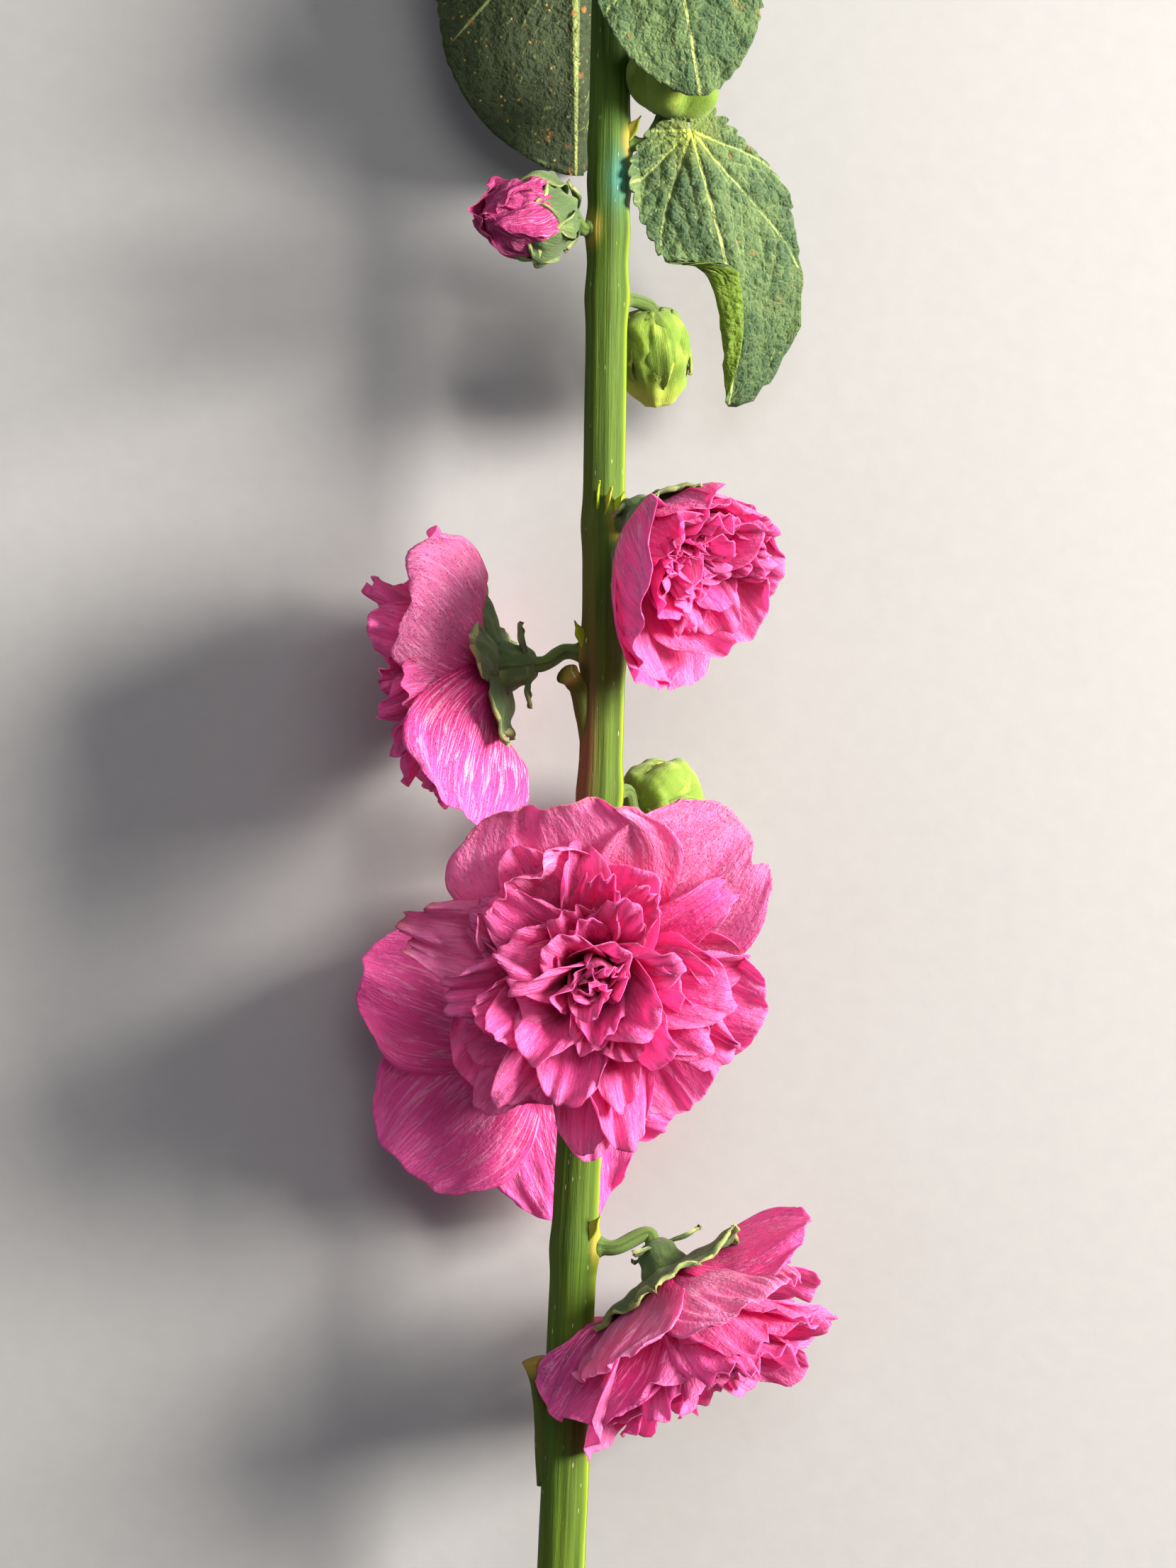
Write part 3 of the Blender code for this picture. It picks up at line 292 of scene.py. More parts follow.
class Skin:
    """The closed sheets and tubes of one piece, gathered into one mesh."""

    CELL_MARGIN = 0.08
    STRIP = 0.05

    def __init__(self, name: str) -> None:
        """Start an empty piece.

        Args:
            name: The piece's name.
        """
        self.name = name
        self.points: list[Array] = []
        self.marks: dict[str, list[Array]] = {"grain": [], "place": [], "tint": []}
        self.faces: dict[int, list[tuple[Array, Array, Array, bool]]] = {4: [], 3: []}
        self.count = 0
        self.cells = 0

    def add_points(self, points: Array, grain: Array, place: Array, tint: Any) -> Array:
        """Take in points and what the finish reads there.

        Args:
            points: An array whose last axis is a point.
            grain: Where on the flat surface, in millimetres, and the sheet's own number.
            place: What kind of place it is, as the finish understands it.
            tint: How this sheet differs from others of its kind.

        Returns:
            The points' numbers, in the shape of the array.
        """
        shape = points.shape[:-1]
        size = int(np.prod(shape))
        self.points.append(points.reshape(-1, 3))
        for key, given in (("grain", grain), ("place", place), ("tint", np.asarray(tint, float))):
            self.marks[key].append(np.broadcast_to(given, (*shape, 3)).reshape(-1, 3))
        index = np.arange(self.count, self.count + size).reshape(shape)
        self.count += size
        return index

    def add_quads(self, index: Array, flat: Array, sharp: bool = False, back: bool = False) -> None:
        """Join neighbouring points into four-sided faces.

        Args:
            index: A grid of point numbers.
            flat: The grid's places on the flat map, within the current cell.
            sharp: Whether the faces meet their neighbours at a crisp edge.
            back: Whether they look the other way.
        """
        corners = [(0, 0), (0, 1), (1, 1), (1, 0)]
        rows, columns = index.shape
        cut = [(slice(i, rows - 1 + i), slice(j, columns - 1 + j)) for i, j in corners]
        if back:
            cut = cut[::-1]
        faces = np.stack([index[c].ravel() for c in cut], axis=1)
        places = np.stack([flat[c].reshape(-1, 2) for c in cut], axis=1)
        self.faces[4].append((faces, places, np.full(len(faces), self.cells - 1), sharp))

    def add_fan(self, ring: Array, flat: Array, centre: int, middle: Array, back: bool) -> None:
        """Close a ring of points with triangles about its centre.

        Args:
            ring: Point numbers round the ring, the first one again at the end.
            flat: Their places on the flat map.
            centre: The number of the point in the middle.
            middle: That point's place on the flat map.
            back: Whether the faces look against the ring's own direction.
        """
        a, b = (ring[1:], ring[:-1]) if back else (ring[:-1], ring[1:])
        one, two = (flat[1:], flat[:-1]) if back else (flat[:-1], flat[1:])
        hub = np.full(len(a), centre)
        faces = np.stack([hub, a, b], axis=1)
        places = np.stack([np.broadcast_to(middle, one.shape), one, two], axis=1)
        self.faces[3].append((faces, places, np.full(len(faces), self.cells - 1), False))

    def cell_grid(self, rows: int, columns: int) -> Array:
        """Open a new cell of the flat map and spread a grid over it.

        Args:
            rows: Points along.
            columns: Points across.

        Returns:
            Each point's place within the cell.
        """
        self.cells += 1
        low, high = self.CELL_MARGIN, 1 - self.CELL_MARGIN
        v, u = np.meshgrid(np.linspace(low, high, rows), np.linspace(low, high, columns), indexing="ij")
        return np.stack([u, v], axis=-1)

    def add_sheet(self, sheet: Sheet, thickness: float, tint: Triple) -> None:
        """Take in a blade, closed round its edge and thinner there.

        Args:
            sheet: The blade's middle surface.
            thickness: How thick the blade is in its middle.
            tint: How this blade differs from others of its kind.
        """
        points = sheet.points
        rows, columns = points.shape[:2]
        across, along = np.gradient(points, axis=1), np.gradient(points, axis=0)
        normal = np.cross(across, along)
        normal /= np.maximum(np.linalg.norm(normal, axis=-1, keepdims=True), 1e-9)
        share = np.linspace(-1, 1, columns)[None, :] ** 6 + np.linspace(0, 1, rows)[:, None] ** 6
        half = thickness / 2 * (1 - 0.6 * np.minimum(share, 1.0))[..., None]
        sides = []
        for sign, mark in ((1, 0.0), (-1, 1.0)):
            place = sheet.place.copy()
            place[..., 2] = mark
            flat = self.cell_grid(rows, columns)
            index = self.add_points(points + sign * half * normal, sheet.grain, place, tint)
            self.add_quads(index, flat, back=sign < 0)
            sides.append((index, flat))
        (upper, _), (lower, flat) = sides
        upper, lower, flat = (self.rim(grid) for grid in (upper, lower, flat))
        wider = (flat - 0.5) * (1 + 2 * self.STRIP) + 0.5
        self.add_quads(np.stack([lower, upper]), np.stack([flat, wider]), sharp=True)

    @staticmethod
    def rim(grid: Array) -> Array:
        """The entries of a grid, once round its edge."""
        return np.concatenate([grid[0, :], grid[1:, -1], grid[-1, -2::-1], grid[-2::-1, 0]])

    def add_rings(self, rings: Array, grain: Array, place: Array, tint: Any) -> None:
        """Take in a closed body made of rings, one after the other.

        Args:
            rings: Points, ring by ring, counter-clockwise about the way they go.
            grain: What add_points takes, for each point.
            place: The same.
            tint: The same, or one for each point.
        """
        count, sides = rings.shape[:2]
        flat = self.cell_grid(count, sides + 1)
        index = self.add_points(rings, grain, place, tint)
        closed = np.concatenate([index, index[:, :1]], axis=1)
        self.add_quads(closed, flat)
        for ring, back in ((0, True), (count - 1, False)):
            middle = rings[ring].mean(axis=0)[None]
            marks = (np.broadcast_to(x, (count, sides, 3))[ring] for x in (grain, place, tint))
            hub = self.add_points(middle, *(mark.mean(axis=0) for mark in marks))[0]
            edge = flat[ring].copy()
            centre = edge.mean(axis=0)
            centre[1] += -self.STRIP if back else self.STRIP
            self.add_fan(closed[ring], edge, int(hub), centre, back)

    def build(self, finish: bpy.types.Material) -> bpy.types.Object:
        """Make the mesh object, in metres.

        Args:
            finish: The material it wears.

        Returns:
            The object, in the scene.
        """
        points = (np.concatenate(self.points) - BOX_CENTRE) * MM
        across = max(1, math.ceil(math.sqrt(self.cells)))
        corners, sizes, flats, sharp = [], [], [], []
        for sides, groups in self.faces.items():
            for faces, places, cells, crisp in groups:
                corners.append(faces.ravel())
                sizes.append(np.full(len(faces), sides))
                corner_cell = np.stack([cells % across, cells // across], axis=1)[:, None, :]
                flats.append(((places + corner_cell) / across).reshape(-1, 2))
                sharp.append(np.full(len(faces), crisp))
        corner, size = np.concatenate(corners), np.concatenate(sizes)
        mesh = bpy.data.meshes.new(self.name)
        mesh.vertices.add(len(points))
        mesh.vertices.foreach_set("co", points.astype(np.float32).ravel())
        mesh.loops.add(len(corner))
        mesh.loops.foreach_set("vertex_index", corner.astype(np.int32))
        mesh.polygons.add(len(size))
        mesh.polygons.foreach_set("loop_start", (np.cumsum(size) - size).astype(np.int32))
        mesh.polygons.foreach_set("use_smooth", ~np.concatenate(sharp))
        mesh.update(calc_edges=True)
        for key, parts in self.marks.items():
            layer = mesh.attributes.new(key, "FLOAT_VECTOR", "POINT")
            layer.data.foreach_set("vector", np.concatenate(parts).astype(np.float32).ravel())
        flat_map = mesh.uv_layers.new(name="OFBake")
        flat_map.uv.foreach_set("vector", np.concatenate(flats).astype(np.float32).ravel())
        mesh.validate()
        mesh.materials.append(finish)
        piece = bpy.data.objects.new(self.name, mesh)
        bpy.context.scene.collection.objects.link(piece)
        return piece


def tube_rings(path: Array, radii: Any, sides: int) -> Array:
    """Set rings of points along a path.

    Args:
        path: The middle line.
        radii: One radius, one for each point, or one for each point of each ring.
        sides: Points in a ring.

    Returns:
        The rings, each without twist against the one before.
    """
    path = np.asarray(path, float)
    radii = np.asarray(radii, float)
    radii = np.broadcast_to(radii[:, None] if radii.ndim == 1 else radii, (len(path), sides))
    ahead = np.gradient(path, axis=0)
    ahead /= np.linalg.norm(ahead, axis=1, keepdims=True)
    start = (1.0, 0.0, 0.0) if abs(ahead[0][0]) < 0.9 else (0.0, 0.0, 1.0)
    right = unit(np.cross(np.cross(ahead[0], start), ahead[0]))
    turn = np.linspace(0, TURN, sides, endpoint=False)[:, None]
    rings = []
    for centre, along, radius in zip(path, ahead, radii):
        right = unit(right - (right @ along) * along)
        up = np.cross(along, right)
        rings.append(centre + (right * np.cos(turn) + up * np.sin(turn)) * radius[:, None])
    return np.array(rings)


def turned(radius: Array, heights: Array, turn: Array) -> Array:
    """Turn an outline round the +Z axis.

    Args:
        radius: Distances from the axis, ring by ring and round each ring.
        heights: The rings' heights, as a column.
        turn: The angles at which a ring has its points.

    Returns:
        The rings.
    """
    high = np.broadcast_to(heights, radius.shape)
    return np.stack([radius * np.cos(turn), radius * np.sin(turn), high], axis=-1)


def tube_grain(path: Array, radius: float, sides: int, number: float) -> tuple[Array, Array]:
    """Give a tube what its finish reads.

    Args:
        path: The middle line.
        radius: A typical radius.
        sides: Points in a ring.
        number: The tube's own number.

    Returns:
        The grain and the place of each point.
    """
    length = np.concatenate([[0], np.cumsum(np.linalg.norm(np.diff(path, axis=0), axis=1))])
    turn = np.linspace(0, 1, sides, endpoint=False)
    s, t = np.meshgrid(length / length[-1], turn, indexing="ij")
    wide = np.abs(t - 0.5) * TURN * radius
    grain = np.stack([wide, s * length[-1], np.full_like(s, number)], axis=-1)
    return grain, np.stack([t, s, np.ones_like(s)], axis=-1)


# Petals, and the rings of ruffles they make.

SPINE_STEPS = 60
CURL_START = 0.55
LIP_START = 0.88
WIDEST_AT = 0.68
CLAW_END = 0.35


@dataclass
class Petal:
    """A sheet on a bent spine, in the frame of what it grows from, whose axis is +Z."""

    turn: float
    length: float
    half_width: float
    lean: float = 35.0
    flare: float = 85.0
    foot_radius: float = 3.6
    foot_height: float = 4.6
    opening: float = 0.6
    claw: float = 0.24
    taper: float = 0.15
    corner: float = 0.16
    cup: float = 20.0
    ruffle: float = 1.6
    waves: float = 2.2
    phase: float = 0.0
    curl: float = 0.0
    roll: float = 6.0
    twist: float = 0.0
    wrapped: float = 0.0
    rounding: float = 0.16
    point: float = 0.0
    frill: float = 1.0
    frills: float = 3.0
    crumple: float = 0.5
    bump_size: float = 9.0
    pleat: float = 0.12
    crease: float = 0.0
    lip: float = 0.0
    notch: float = 0.0
    notch_at: float = 0.0
    ragged: float = 0.03
    ribs: float = 0.0
    # pale above 0 fades the petal towards lilac; below 0 it paints shade on the petal
    pale: float = 0.0
    dry: float = 0.0
    dimples: float = 0.0
    seed: int = 0

    def surface(self, rows: int, columns: int) -> Sheet:
        """Shape the petal's middle surface.

        Args:
            rows: Steps from foot to tip.
            columns: Steps from side to side.

        Returns:
            The sheet, in the frame of what the petal grows from.
        """
        noise = Crumple(self.seed)
        steps = np.linspace(0.0, 1.0, SPINE_STEPS)
        angle = self.lean + (self.flare - self.lean) * steps**self.opening
        angle = angle + self.curl * late(steps, CURL_START)
        angle = np.radians(angle - self.lip * late(steps, LIP_START))
        middle = (angle[1:] + angle[:-1]) / 2
        step = self.length / (SPINE_STEPS - 1)
        out = self.foot_radius + np.concatenate([[0], np.cumsum(np.sin(middle))]) * step
        up = self.foot_height + np.concatenate([[0], np.cumsum(np.cos(middle))]) * step

        run = np.linspace(0.0, 1.0, rows + 1)
        s, t = np.meshgrid(1 - (1 - run) ** 1.2, np.linspace(-1.0, 1.0, columns + 1), indexing="ij")
        width = self.claw + (1 - self.claw) * np.sin(np.pi / 2 * np.minimum(s / WIDEST_AT, 1.0)) ** 0.85
        width = width * (1 - self.taper * late(s, 0.55))
        width = width * (1 - self.rounding * late(s, 0.7) ** 2)
        width = width * (1 - self.point * late(s, 0.45) ** 1.5)
        reach = s * (1 - self.corner * np.abs(t) ** 2.4 * s)
        tip = s**4
        edge = noise.layered(t * 2.6 + 9, s * 0.3, 3)
        reach = reach * (1 - self.ragged * tip * (0.5 + edge))
        reach = reach - self.notch * tip * bell(t - self.notch_at, 0.13)
        x = t * width * self.half_width * (1 + self.ragged * noise.at(s * 4, np.sign(t) * 3.3) * s)
        theta = np.interp(reach, steps, angle)
        radius = np.interp(reach, steps, out)
        height = np.interp(reach, steps, up)

        round_foot = 1 - (1 - self.wrapped) * smooth(s / CLAW_END)
        wrap = round_foot * np.cos(theta) / np.maximum(radius, 3.0)
        bend = np.radians(self.cup) / self.half_width + wrap + 1e-6
        side = np.sin(bend * x) / bend
        rise = (1 - np.cos(bend * x)) / bend
        rim = 1 - (1 - s**2.2) * (1 - (np.abs(t) ** 3) * smooth(s / 0.5))
        wave = np.sin(TURN * (self.waves * t / 2 + self.phase + 0.25 * s))
        rise = rise + self.ruffle * s**1.7 * (0.5 + 0.5 * t * t) * wave
        shift = self.phase + 0.35 * noise.at(t * 2.1, s * 1.3)
        rise = rise + self.frill * rim**1.6 * np.sin(TURN * (self.frills * t / 2 + shift + 0.4 * s))
        broad = noise.layered(x / self.bump_size + 31, reach * self.length / self.bump_size / 1.5, 2)
        rise = rise + self.crumple * smooth(s / 0.4) * broad
        folds = noise.layered(t * self.half_width / 3.0 + 3, s * 1.7 + 40, 2)
        rise = rise + self.pleat * smooth((s - 0.3) / 0.5) * (1 - 3 * np.abs(folds))
        rise = rise - self.crease * bell(t, 0.26) * smooth(s / 0.3)
        rise = rise - self.ribs * sum(bell(t - at, 0.09) for at in (-0.55, 0, 0.55))

        turn = math.radians(self.turn)
        outward = np.array((math.cos(turn), math.sin(turn), 0.0))
        sideways = np.array((-math.sin(turn), math.cos(turn), 0.0))
        axis = np.array((0.0, 0.0, 1.0))
        inward = -np.cos(theta)[..., None] * outward + np.sin(theta)[..., None] * axis
        spin = np.radians(self.roll * smooth(s / CLAW_END) + self.twist * s)[..., None]
        across = sideways * np.cos(spin) + inward * np.sin(spin)
        normal = inward * np.cos(spin) - sideways * np.sin(spin)
        spine = radius[..., None] * outward + height[..., None] * axis
        points = spine + across * side[..., None] + normal * rise[..., None]
        number = 10 + 7.3 * (self.seed % 97)
        grain = np.stack([x, reach * self.length, np.full_like(x, number)], axis=-1)
        return Sheet(points, grain, np.stack([t, s, np.zeros_like(s)], axis=-1))

    def grow(self, skin: Skin, base: Array, axes: Array, grid: tuple[int, int], thick: float) -> None:
        """Add the petal to a piece, clear of the stem and of the surface below.

        Args:
            skin: The piece.
            base: Where the petal's frame stands.
            axes: That frame's axes, as columns.
            grid: Steps along and across.
            thick: The blade's thickness.
        """
        sheet = self.surface(*grid)
        sheet.points = rested(clear_of_stem(sheet.points @ axes.T + base), thick)
        skin.add_sheet(sheet, thick, (self.pale, self.dry, self.dimples))


@dataclass
class Ring:
    """A ring of ruffles, which overlap like shingles round the bloom's axis."""

    count: int
    foot_radius: float
    foot_height: float
    lean: float
    flare: float
    length: float
    half_width: float


RINGS = [
    Ring(3, 2.0, 8.5, 3, 8, 24, 9),
    Ring(5, 3.6, 8.0, 16, 26, 27, 11),
    Ring(7, 4.6, 7.0, 32, 48, 31, 12.5),
    Ring(8, 4.8, 5.8, 50, 72, 34, 13),
]
EXTRA_RINGS = [
    Ring(3, 3.0, 8.6, 10, 20, 24, 8),
    Ring(5, 4.4, 8.0, 26, 42, 28, 9),
    Ring(8, 5.0, 7.0, 44, 64, 33, 10.5),
    Ring(9, 5.2, 5.4, 58, 82, 37, 11.5),
    Ring(7, 5.0, 13.0, 34, -44, 12.5, 6.5),
    Ring(5, 2.6, 15.5, 20, -30, 8.5, 5.0),
    Ring(5, 1.6, 9.0, 12, -26, 22, 7.5),
]


def lobes_of(lobe: Petal, count: int, start: float, seed: int, spread: float = 6.0) -> list[Petal]:
    """Repeat a lobe round an axis.

    Args:
        lobe: The one to repeat.
        count: How many there are.
        start: Degrees to the first one.
        seed: The seed of their differences.
        spread: How much their flare differs, in degrees.

    Returns:
        The lobes, each a little longer or flatter.
    """
    draw = random.Random(seed)
    return [
        replace(
            lobe,
            turn=start + index * 360 / count, length=lobe.length * draw.uniform(0.88, 1.12),
            flare=lobe.flare + draw.uniform(-spread, spread), curl=draw.uniform(-16, 26),
            twist=draw.uniform(-8, 8), seed=seed * 10 + index,
        )
        for index in range(count)
    ]


# Finishes.


class Signal:
    """A shader socket, on which sums can be written as on a number."""

    def __init__(self, graph: "Graph", socket: bpy.types.NodeSocket) -> None:
        """Wrap a socket of a graph."""
        self.graph, self.socket = graph, socket

    def math(self, operation: str, *others: Any, first: Any = None, clamp: bool = False) -> "Signal":
        """Add a Math node.

        Args:
            operation: What it does.
            others: Its further values.
            first: What goes in before this signal, if anything does.
            clamp: Whether the result is held within 0 and 1.

        Returns:
            Its result.
        """
        values = [self, *others] if first is None else [first, self, *others]
        settings = {"operation": operation, "use_clamp": clamp}
        return self.graph.node("ShaderNodeMath", settings, dict(enumerate(values)))

    def __add__(self, other: Any) -> "Signal":
        """Sum."""
        return self.math("ADD", other)

    def __sub__(self, other: Any) -> "Signal":
        """Difference."""
        return self.math("SUBTRACT", other)

    def __rsub__(self, other: Any) -> "Signal":
        """Difference from a number."""
        return self.math("SUBTRACT", first=other)

    def __mul__(self, other: Any) -> "Signal":
        """Product."""
        return self.math("MULTIPLY", other)

    def __pow__(self, other: Any) -> "Signal":
        """Power."""
        return self.math("POWER", other)

    __radd__ = __add__
    __rmul__ = __mul__

    def span(self, low: float, high: float) -> "Signal":
        """Turn a stretch of values into an even S from 0 to 1.

        Args:
            low: What becomes 0.
            high: What becomes 1.

        Returns:
            The eased value.
        """
        settings = {"interpolation_type": "SMOOTHSTEP"}
        values = {"Value": self, "From Min": low, "From Max": high}
        return self.graph.node("ShaderNodeMapRange", settings, values)

    def size(self) -> "Signal":
        """The value without its sign."""
        return self.math("ABSOLUTE")


class Graph:
    """The nodes of one material, and the ways to add to them."""

    def __init__(self, name: str) -> None:
        """Start a material with only its output.

        Args:
            name: The material's name.
        """
        self.material = bpy.data.materials.new(name)
        self.material.use_nodes = True
        self.tree = self.material.node_tree
        self.tree.nodes.clear()
        self.output = self.tree.nodes.new("ShaderNodeOutputMaterial")

    def node(
        self, kind: str, settings: dict | None = None, values: dict | None = None, out: Any = 0
    ) -> Signal:
        """Add a node.

        Args:
            kind: Its type.
            settings: What is set on it first.
            values: What goes into its sockets, by name, identifier or number.
            out: The output to read.

        Returns:
            That output.
        """
        made = self.tree.nodes.new(kind)
        for key, value in (settings or {}).items():
            setattr(made, key, value)
        for key, value in (values or {}).items():
            if isinstance(key, int):
                socket = made.inputs[key]
            else:
                named = [s for s in made.inputs if s.identifier == key or s.name == key]
                socket = next((s for s in named if s.enabled), named[0])
            if isinstance(value, Signal):
                self.tree.links.new(value.socket, socket)
            else:
                socket.default_value = value
        if isinstance(out, str):
            found = next(s for s in made.outputs if s.name == out and s.enabled)
        else:
            found = made.outputs[out]
        return Signal(self, found)

    def marks(self) -> list[Signal]:
        """The vectors that a mesh carries at each point: its grain, its place and its tint."""
        names = ("grain", "place", "tint")
        return [self.node("ShaderNodeAttribute", {"attribute_name": x}, {}, "Vector") for x in names]

    def parts(self, vector: Signal) -> list[Signal]:
        """The three numbers of a vector."""
        made = self.node("ShaderNodeSeparateXYZ", {}, {"Vector": vector})
        return [Signal(self, socket) for socket in made.socket.node.outputs]

    def vector(self, x: Any, y: Any, z: Any) -> Signal:
        """A vector from three numbers."""
        return self.node("ShaderNodeCombineXYZ", {}, {"X": x, "Y": y, "Z": z})

    def stretched(self, grain: Signal, across: float, along: float) -> Signal:
        """The grain with its two ways over the surface scaled."""
        values = {0: grain, 1: (across, along, 1.0)}
        return self.node("ShaderNodeVectorMath", {"operation": "MULTIPLY"}, values)

    def blend(self, first: Any, second: Any, share: Any) -> Signal:
        """Mix two colours.

        Args:
            first: The colour at share 0.
            second: The colour at share 1.
            share: How much of the second one shows.

        Returns:
            The mixed colour.
        """
        colours = [c if isinstance(c, Signal) else (*c, 1.0) for c in (first, second)]
        values = {"Factor_Float": share, "A_Color": colours[0], "B_Color": colours[1]}
        settings = {"data_type": "RGBA", "clamp_factor": True}
        made = self.node("ShaderNodeMix", settings, values)
        return Signal(self, next(s for s in made.socket.node.outputs if s.type == "RGBA"))

    def noise(self, vector: Signal, scale: float, detail: float = 2.0, rough: float = 0.5) -> Signal:
        """Soft noise from 0 to 1.

        Args:
            vector: Where it is read.
            scale: How many bumps to a unit.
            detail: How many finer layers.
            rough: How strong they are.

        Returns:
            Its value.
        """
        values = {"Vector": vector, "Scale": scale, "Detail": detail, "Roughness": rough}
        return self.node("ShaderNodeTexNoise", {"noise_dimensions": "3D"}, values)

    def pits(self, vector: Signal, scale: float, feature: str = "F1") -> Signal:
        """The distance to the nearest of scattered points, or to the cells' edges.

        Args:
            vector: Where it is read.
            scale: How many points to a unit.
            feature: F1, or DISTANCE_TO_EDGE.

        Returns:
            The distance.
        """
        values = {"Vector": vector, "Scale": scale}
        return self.node("ShaderNodeTexVoronoi", {"feature": feature}, values, "Distance")

    def bump(self, height: Signal, depth: float, under: Signal | None = None) -> Signal:
        """Turn a height into a normal.

        Args:
            height: The height, from 0 to 1.
            depth: How many millimetres 1 is.
            under: A normal to start from.

        Returns:
            The normal.
        """
        values = {"Height": height, "Distance": depth * MM, "Strength": 1.0}
        if under is not None:
            values["Normal"] = under
        return self.node("ShaderNodeBump", {}, values)

    def skin(self, values: dict) -> Signal:
        """A plain surface with the given finish."""
        return self.node("ShaderNodeBsdfPrincipled", {}, values)

    def finish(self, surface: Signal, glow: Triple | None = None, share: Any = 0.0) -> bpy.types.Material:
        """Close the material.

        Args:
            surface: What it shows.
            glow: The colour of light that comes through it, if it does.
            share: How much of the light does.

        Returns:
            The material.
        """
        if glow is not None:
            through = self.node("ShaderNodeBsdfTranslucent", {}, {"Color": (*glow, 1.0)})
            surface = self.node("ShaderNodeMixShader", {}, {0: share, 1: surface, 2: through})
        self.tree.links.new(surface.socket, self.output.inputs["Surface"])
        return self.material


@dataclass(frozen=True)
class PetalFinish:
    """Thin petal: hot pink at the heart, paler rim, lilac back, fine veins and wrinkles; painted shade on
    guards whose pale is below 0 and in the pits of the dimples.
    """

    heart: Triple = (0.92, 0.022, 0.25)
    blade: Triple = (0.96, 0.090, 0.43)
    rim: Triple = (0.98, 0.27, 0.60)
    # The colour below is painted shade: the dark magenta that guards whose pale is below 0 are darkened
    # towards.
    painted_shade_magenta: Triple = (0.46, 0.008, 0.13)
    back: Triple = (0.86, 0.14, 0.50)
    faded: Triple = (0.80, 0.31, 0.57)
    vein: Triple = (1.0, 0.60, 0.73)
    dried: Triple = (0.42, 0.16, 0.13)
    glow: Triple = (1.0, 0.26, 0.58)
    through: float = 0.54
    wrinkle: float = 0.5
    dimple: float = 0.30

    def material(self, name: str) -> bpy.types.Material:
        """Make the petals' material.

        Args:
            name: Its name.

        Returns:
            The material.
        """
        graph = Graph(name)
        grain, place, tint = graph.marks()
        t, s, inner = graph.parts(place)
        pale, dry, dimpled = graph.parts(tint)
        _, _, number = graph.parts(grain)
        fan = graph.vector(t * 3.2, s * 0.9, number)
        wander = graph.noise(graph.stretched(grain, 0.06, 0.06), 1.0, 2.0)
        veins = graph.noise(fan, 5.0, 4.0, 0.7).span(0.50, 0.66)
        fine = graph.noise(graph.vector(t * 9, s * 2.0, number), 2.6, 3.0, 0.6)
        streak = graph.noise(graph.vector(t * 5, s * 0.8, number), 2.0, 2.0, 0.5)
        mottle = graph.noise(graph.stretched(grain, 0.35, 0.25), 1.0, 3.0, 0.6)
        pit = graph.pits(graph.stretched(grain, 1.7, 1.15), 1.0)
        sunk = (1 - pit.span(0.08, 0.30)) * mottle.span(0.30, 0.55)
        thread = graph.noise(graph.vector(t * 4.6, s * 0.55, number), 4.0, 1.0, 0.5) - 0.5
        thread = (1 - thread.size().span(0.0, 0.05)) * s.span(0.05, 0.2)

        edge = (s + t.size() * t.size() * 0.2).span(0.72, 1.06)
        colour = graph.blend(self.heart, self.blade, s.span(0.10, 0.62))
        colour = graph.blend(colour, self.rim, edge * 0.55 + (streak.span(0.45, 0.75) * s * 0.35))
        colour = graph.blend(colour, self.back, (1 - inner) * s.span(0.05, 0.5) * 0.78)
        colour = graph.blend(colour, self.faded, pale * (mottle * 0.6 + 0.55) * s.span(0.1, 0.55))
        # Painted shade: a guard whose pale is below 0 is darkened towards dark magenta, most near its foot,
        # and lets less light through.
        shaded = (pale * -1.0).span(0.0, 1.0)
        colour = graph.blend(colour, self.painted_shade_magenta, shaded * (1 - s.span(0.4, 1.0) * 0.55))
        colour = graph.blend(colour, self.rim, veins * 0.25 * s.span(0.02, 0.2))
        colour = graph.blend(colour, self.vein, thread * (0.42 - inner * 0.22) * (1 - s.span(0.6, 1.0) * 0.7))
        # Painted shade in the pits of the dimples: the colour turns to the heart's deeper pink where the bump
        # sinks.
        colour = graph.blend(colour, self.heart, sunk * dimpled * 0.42)
        colour = graph.blend(colour, self.blade, wander.span(0.5, 0.8) * 0.35)
        brown = (s + mottle * 0.10).span(0.98, 1.06) * dry
        colour = graph.blend(colour, self.dried, brown)

        lines = fine * 0.6 + veins * 0.4
        normal = graph.bump(lines, self.wrinkle)
        crepe = graph.noise(graph.stretched(grain, 0.9, 0.45), 1.0, 3.0, 0.65)
        normal = graph.bump(crepe, self.wrinkle * 1.5, normal)
        normal = graph.bump(1 - sunk * dimpled, self.dimple, normal)
        surface = graph.skin(
            {
                "Base Color": colour,
                "Roughness": 0.46 + mottle * 0.22,
                "Specular IOR Level": 0.22,
                "Sheen Weight": 0.08,
                "Sheen Roughness": 0.4,
                "Sheen Tint": (1.0, 0.72, 0.90, 1.0),
                "Normal": normal,
            }
        )
        share = (1 - shaded * 0.6 - veins * 0.28 - thread * 0.3) * self.through
        return graph.finish(surface, self.glow, share)


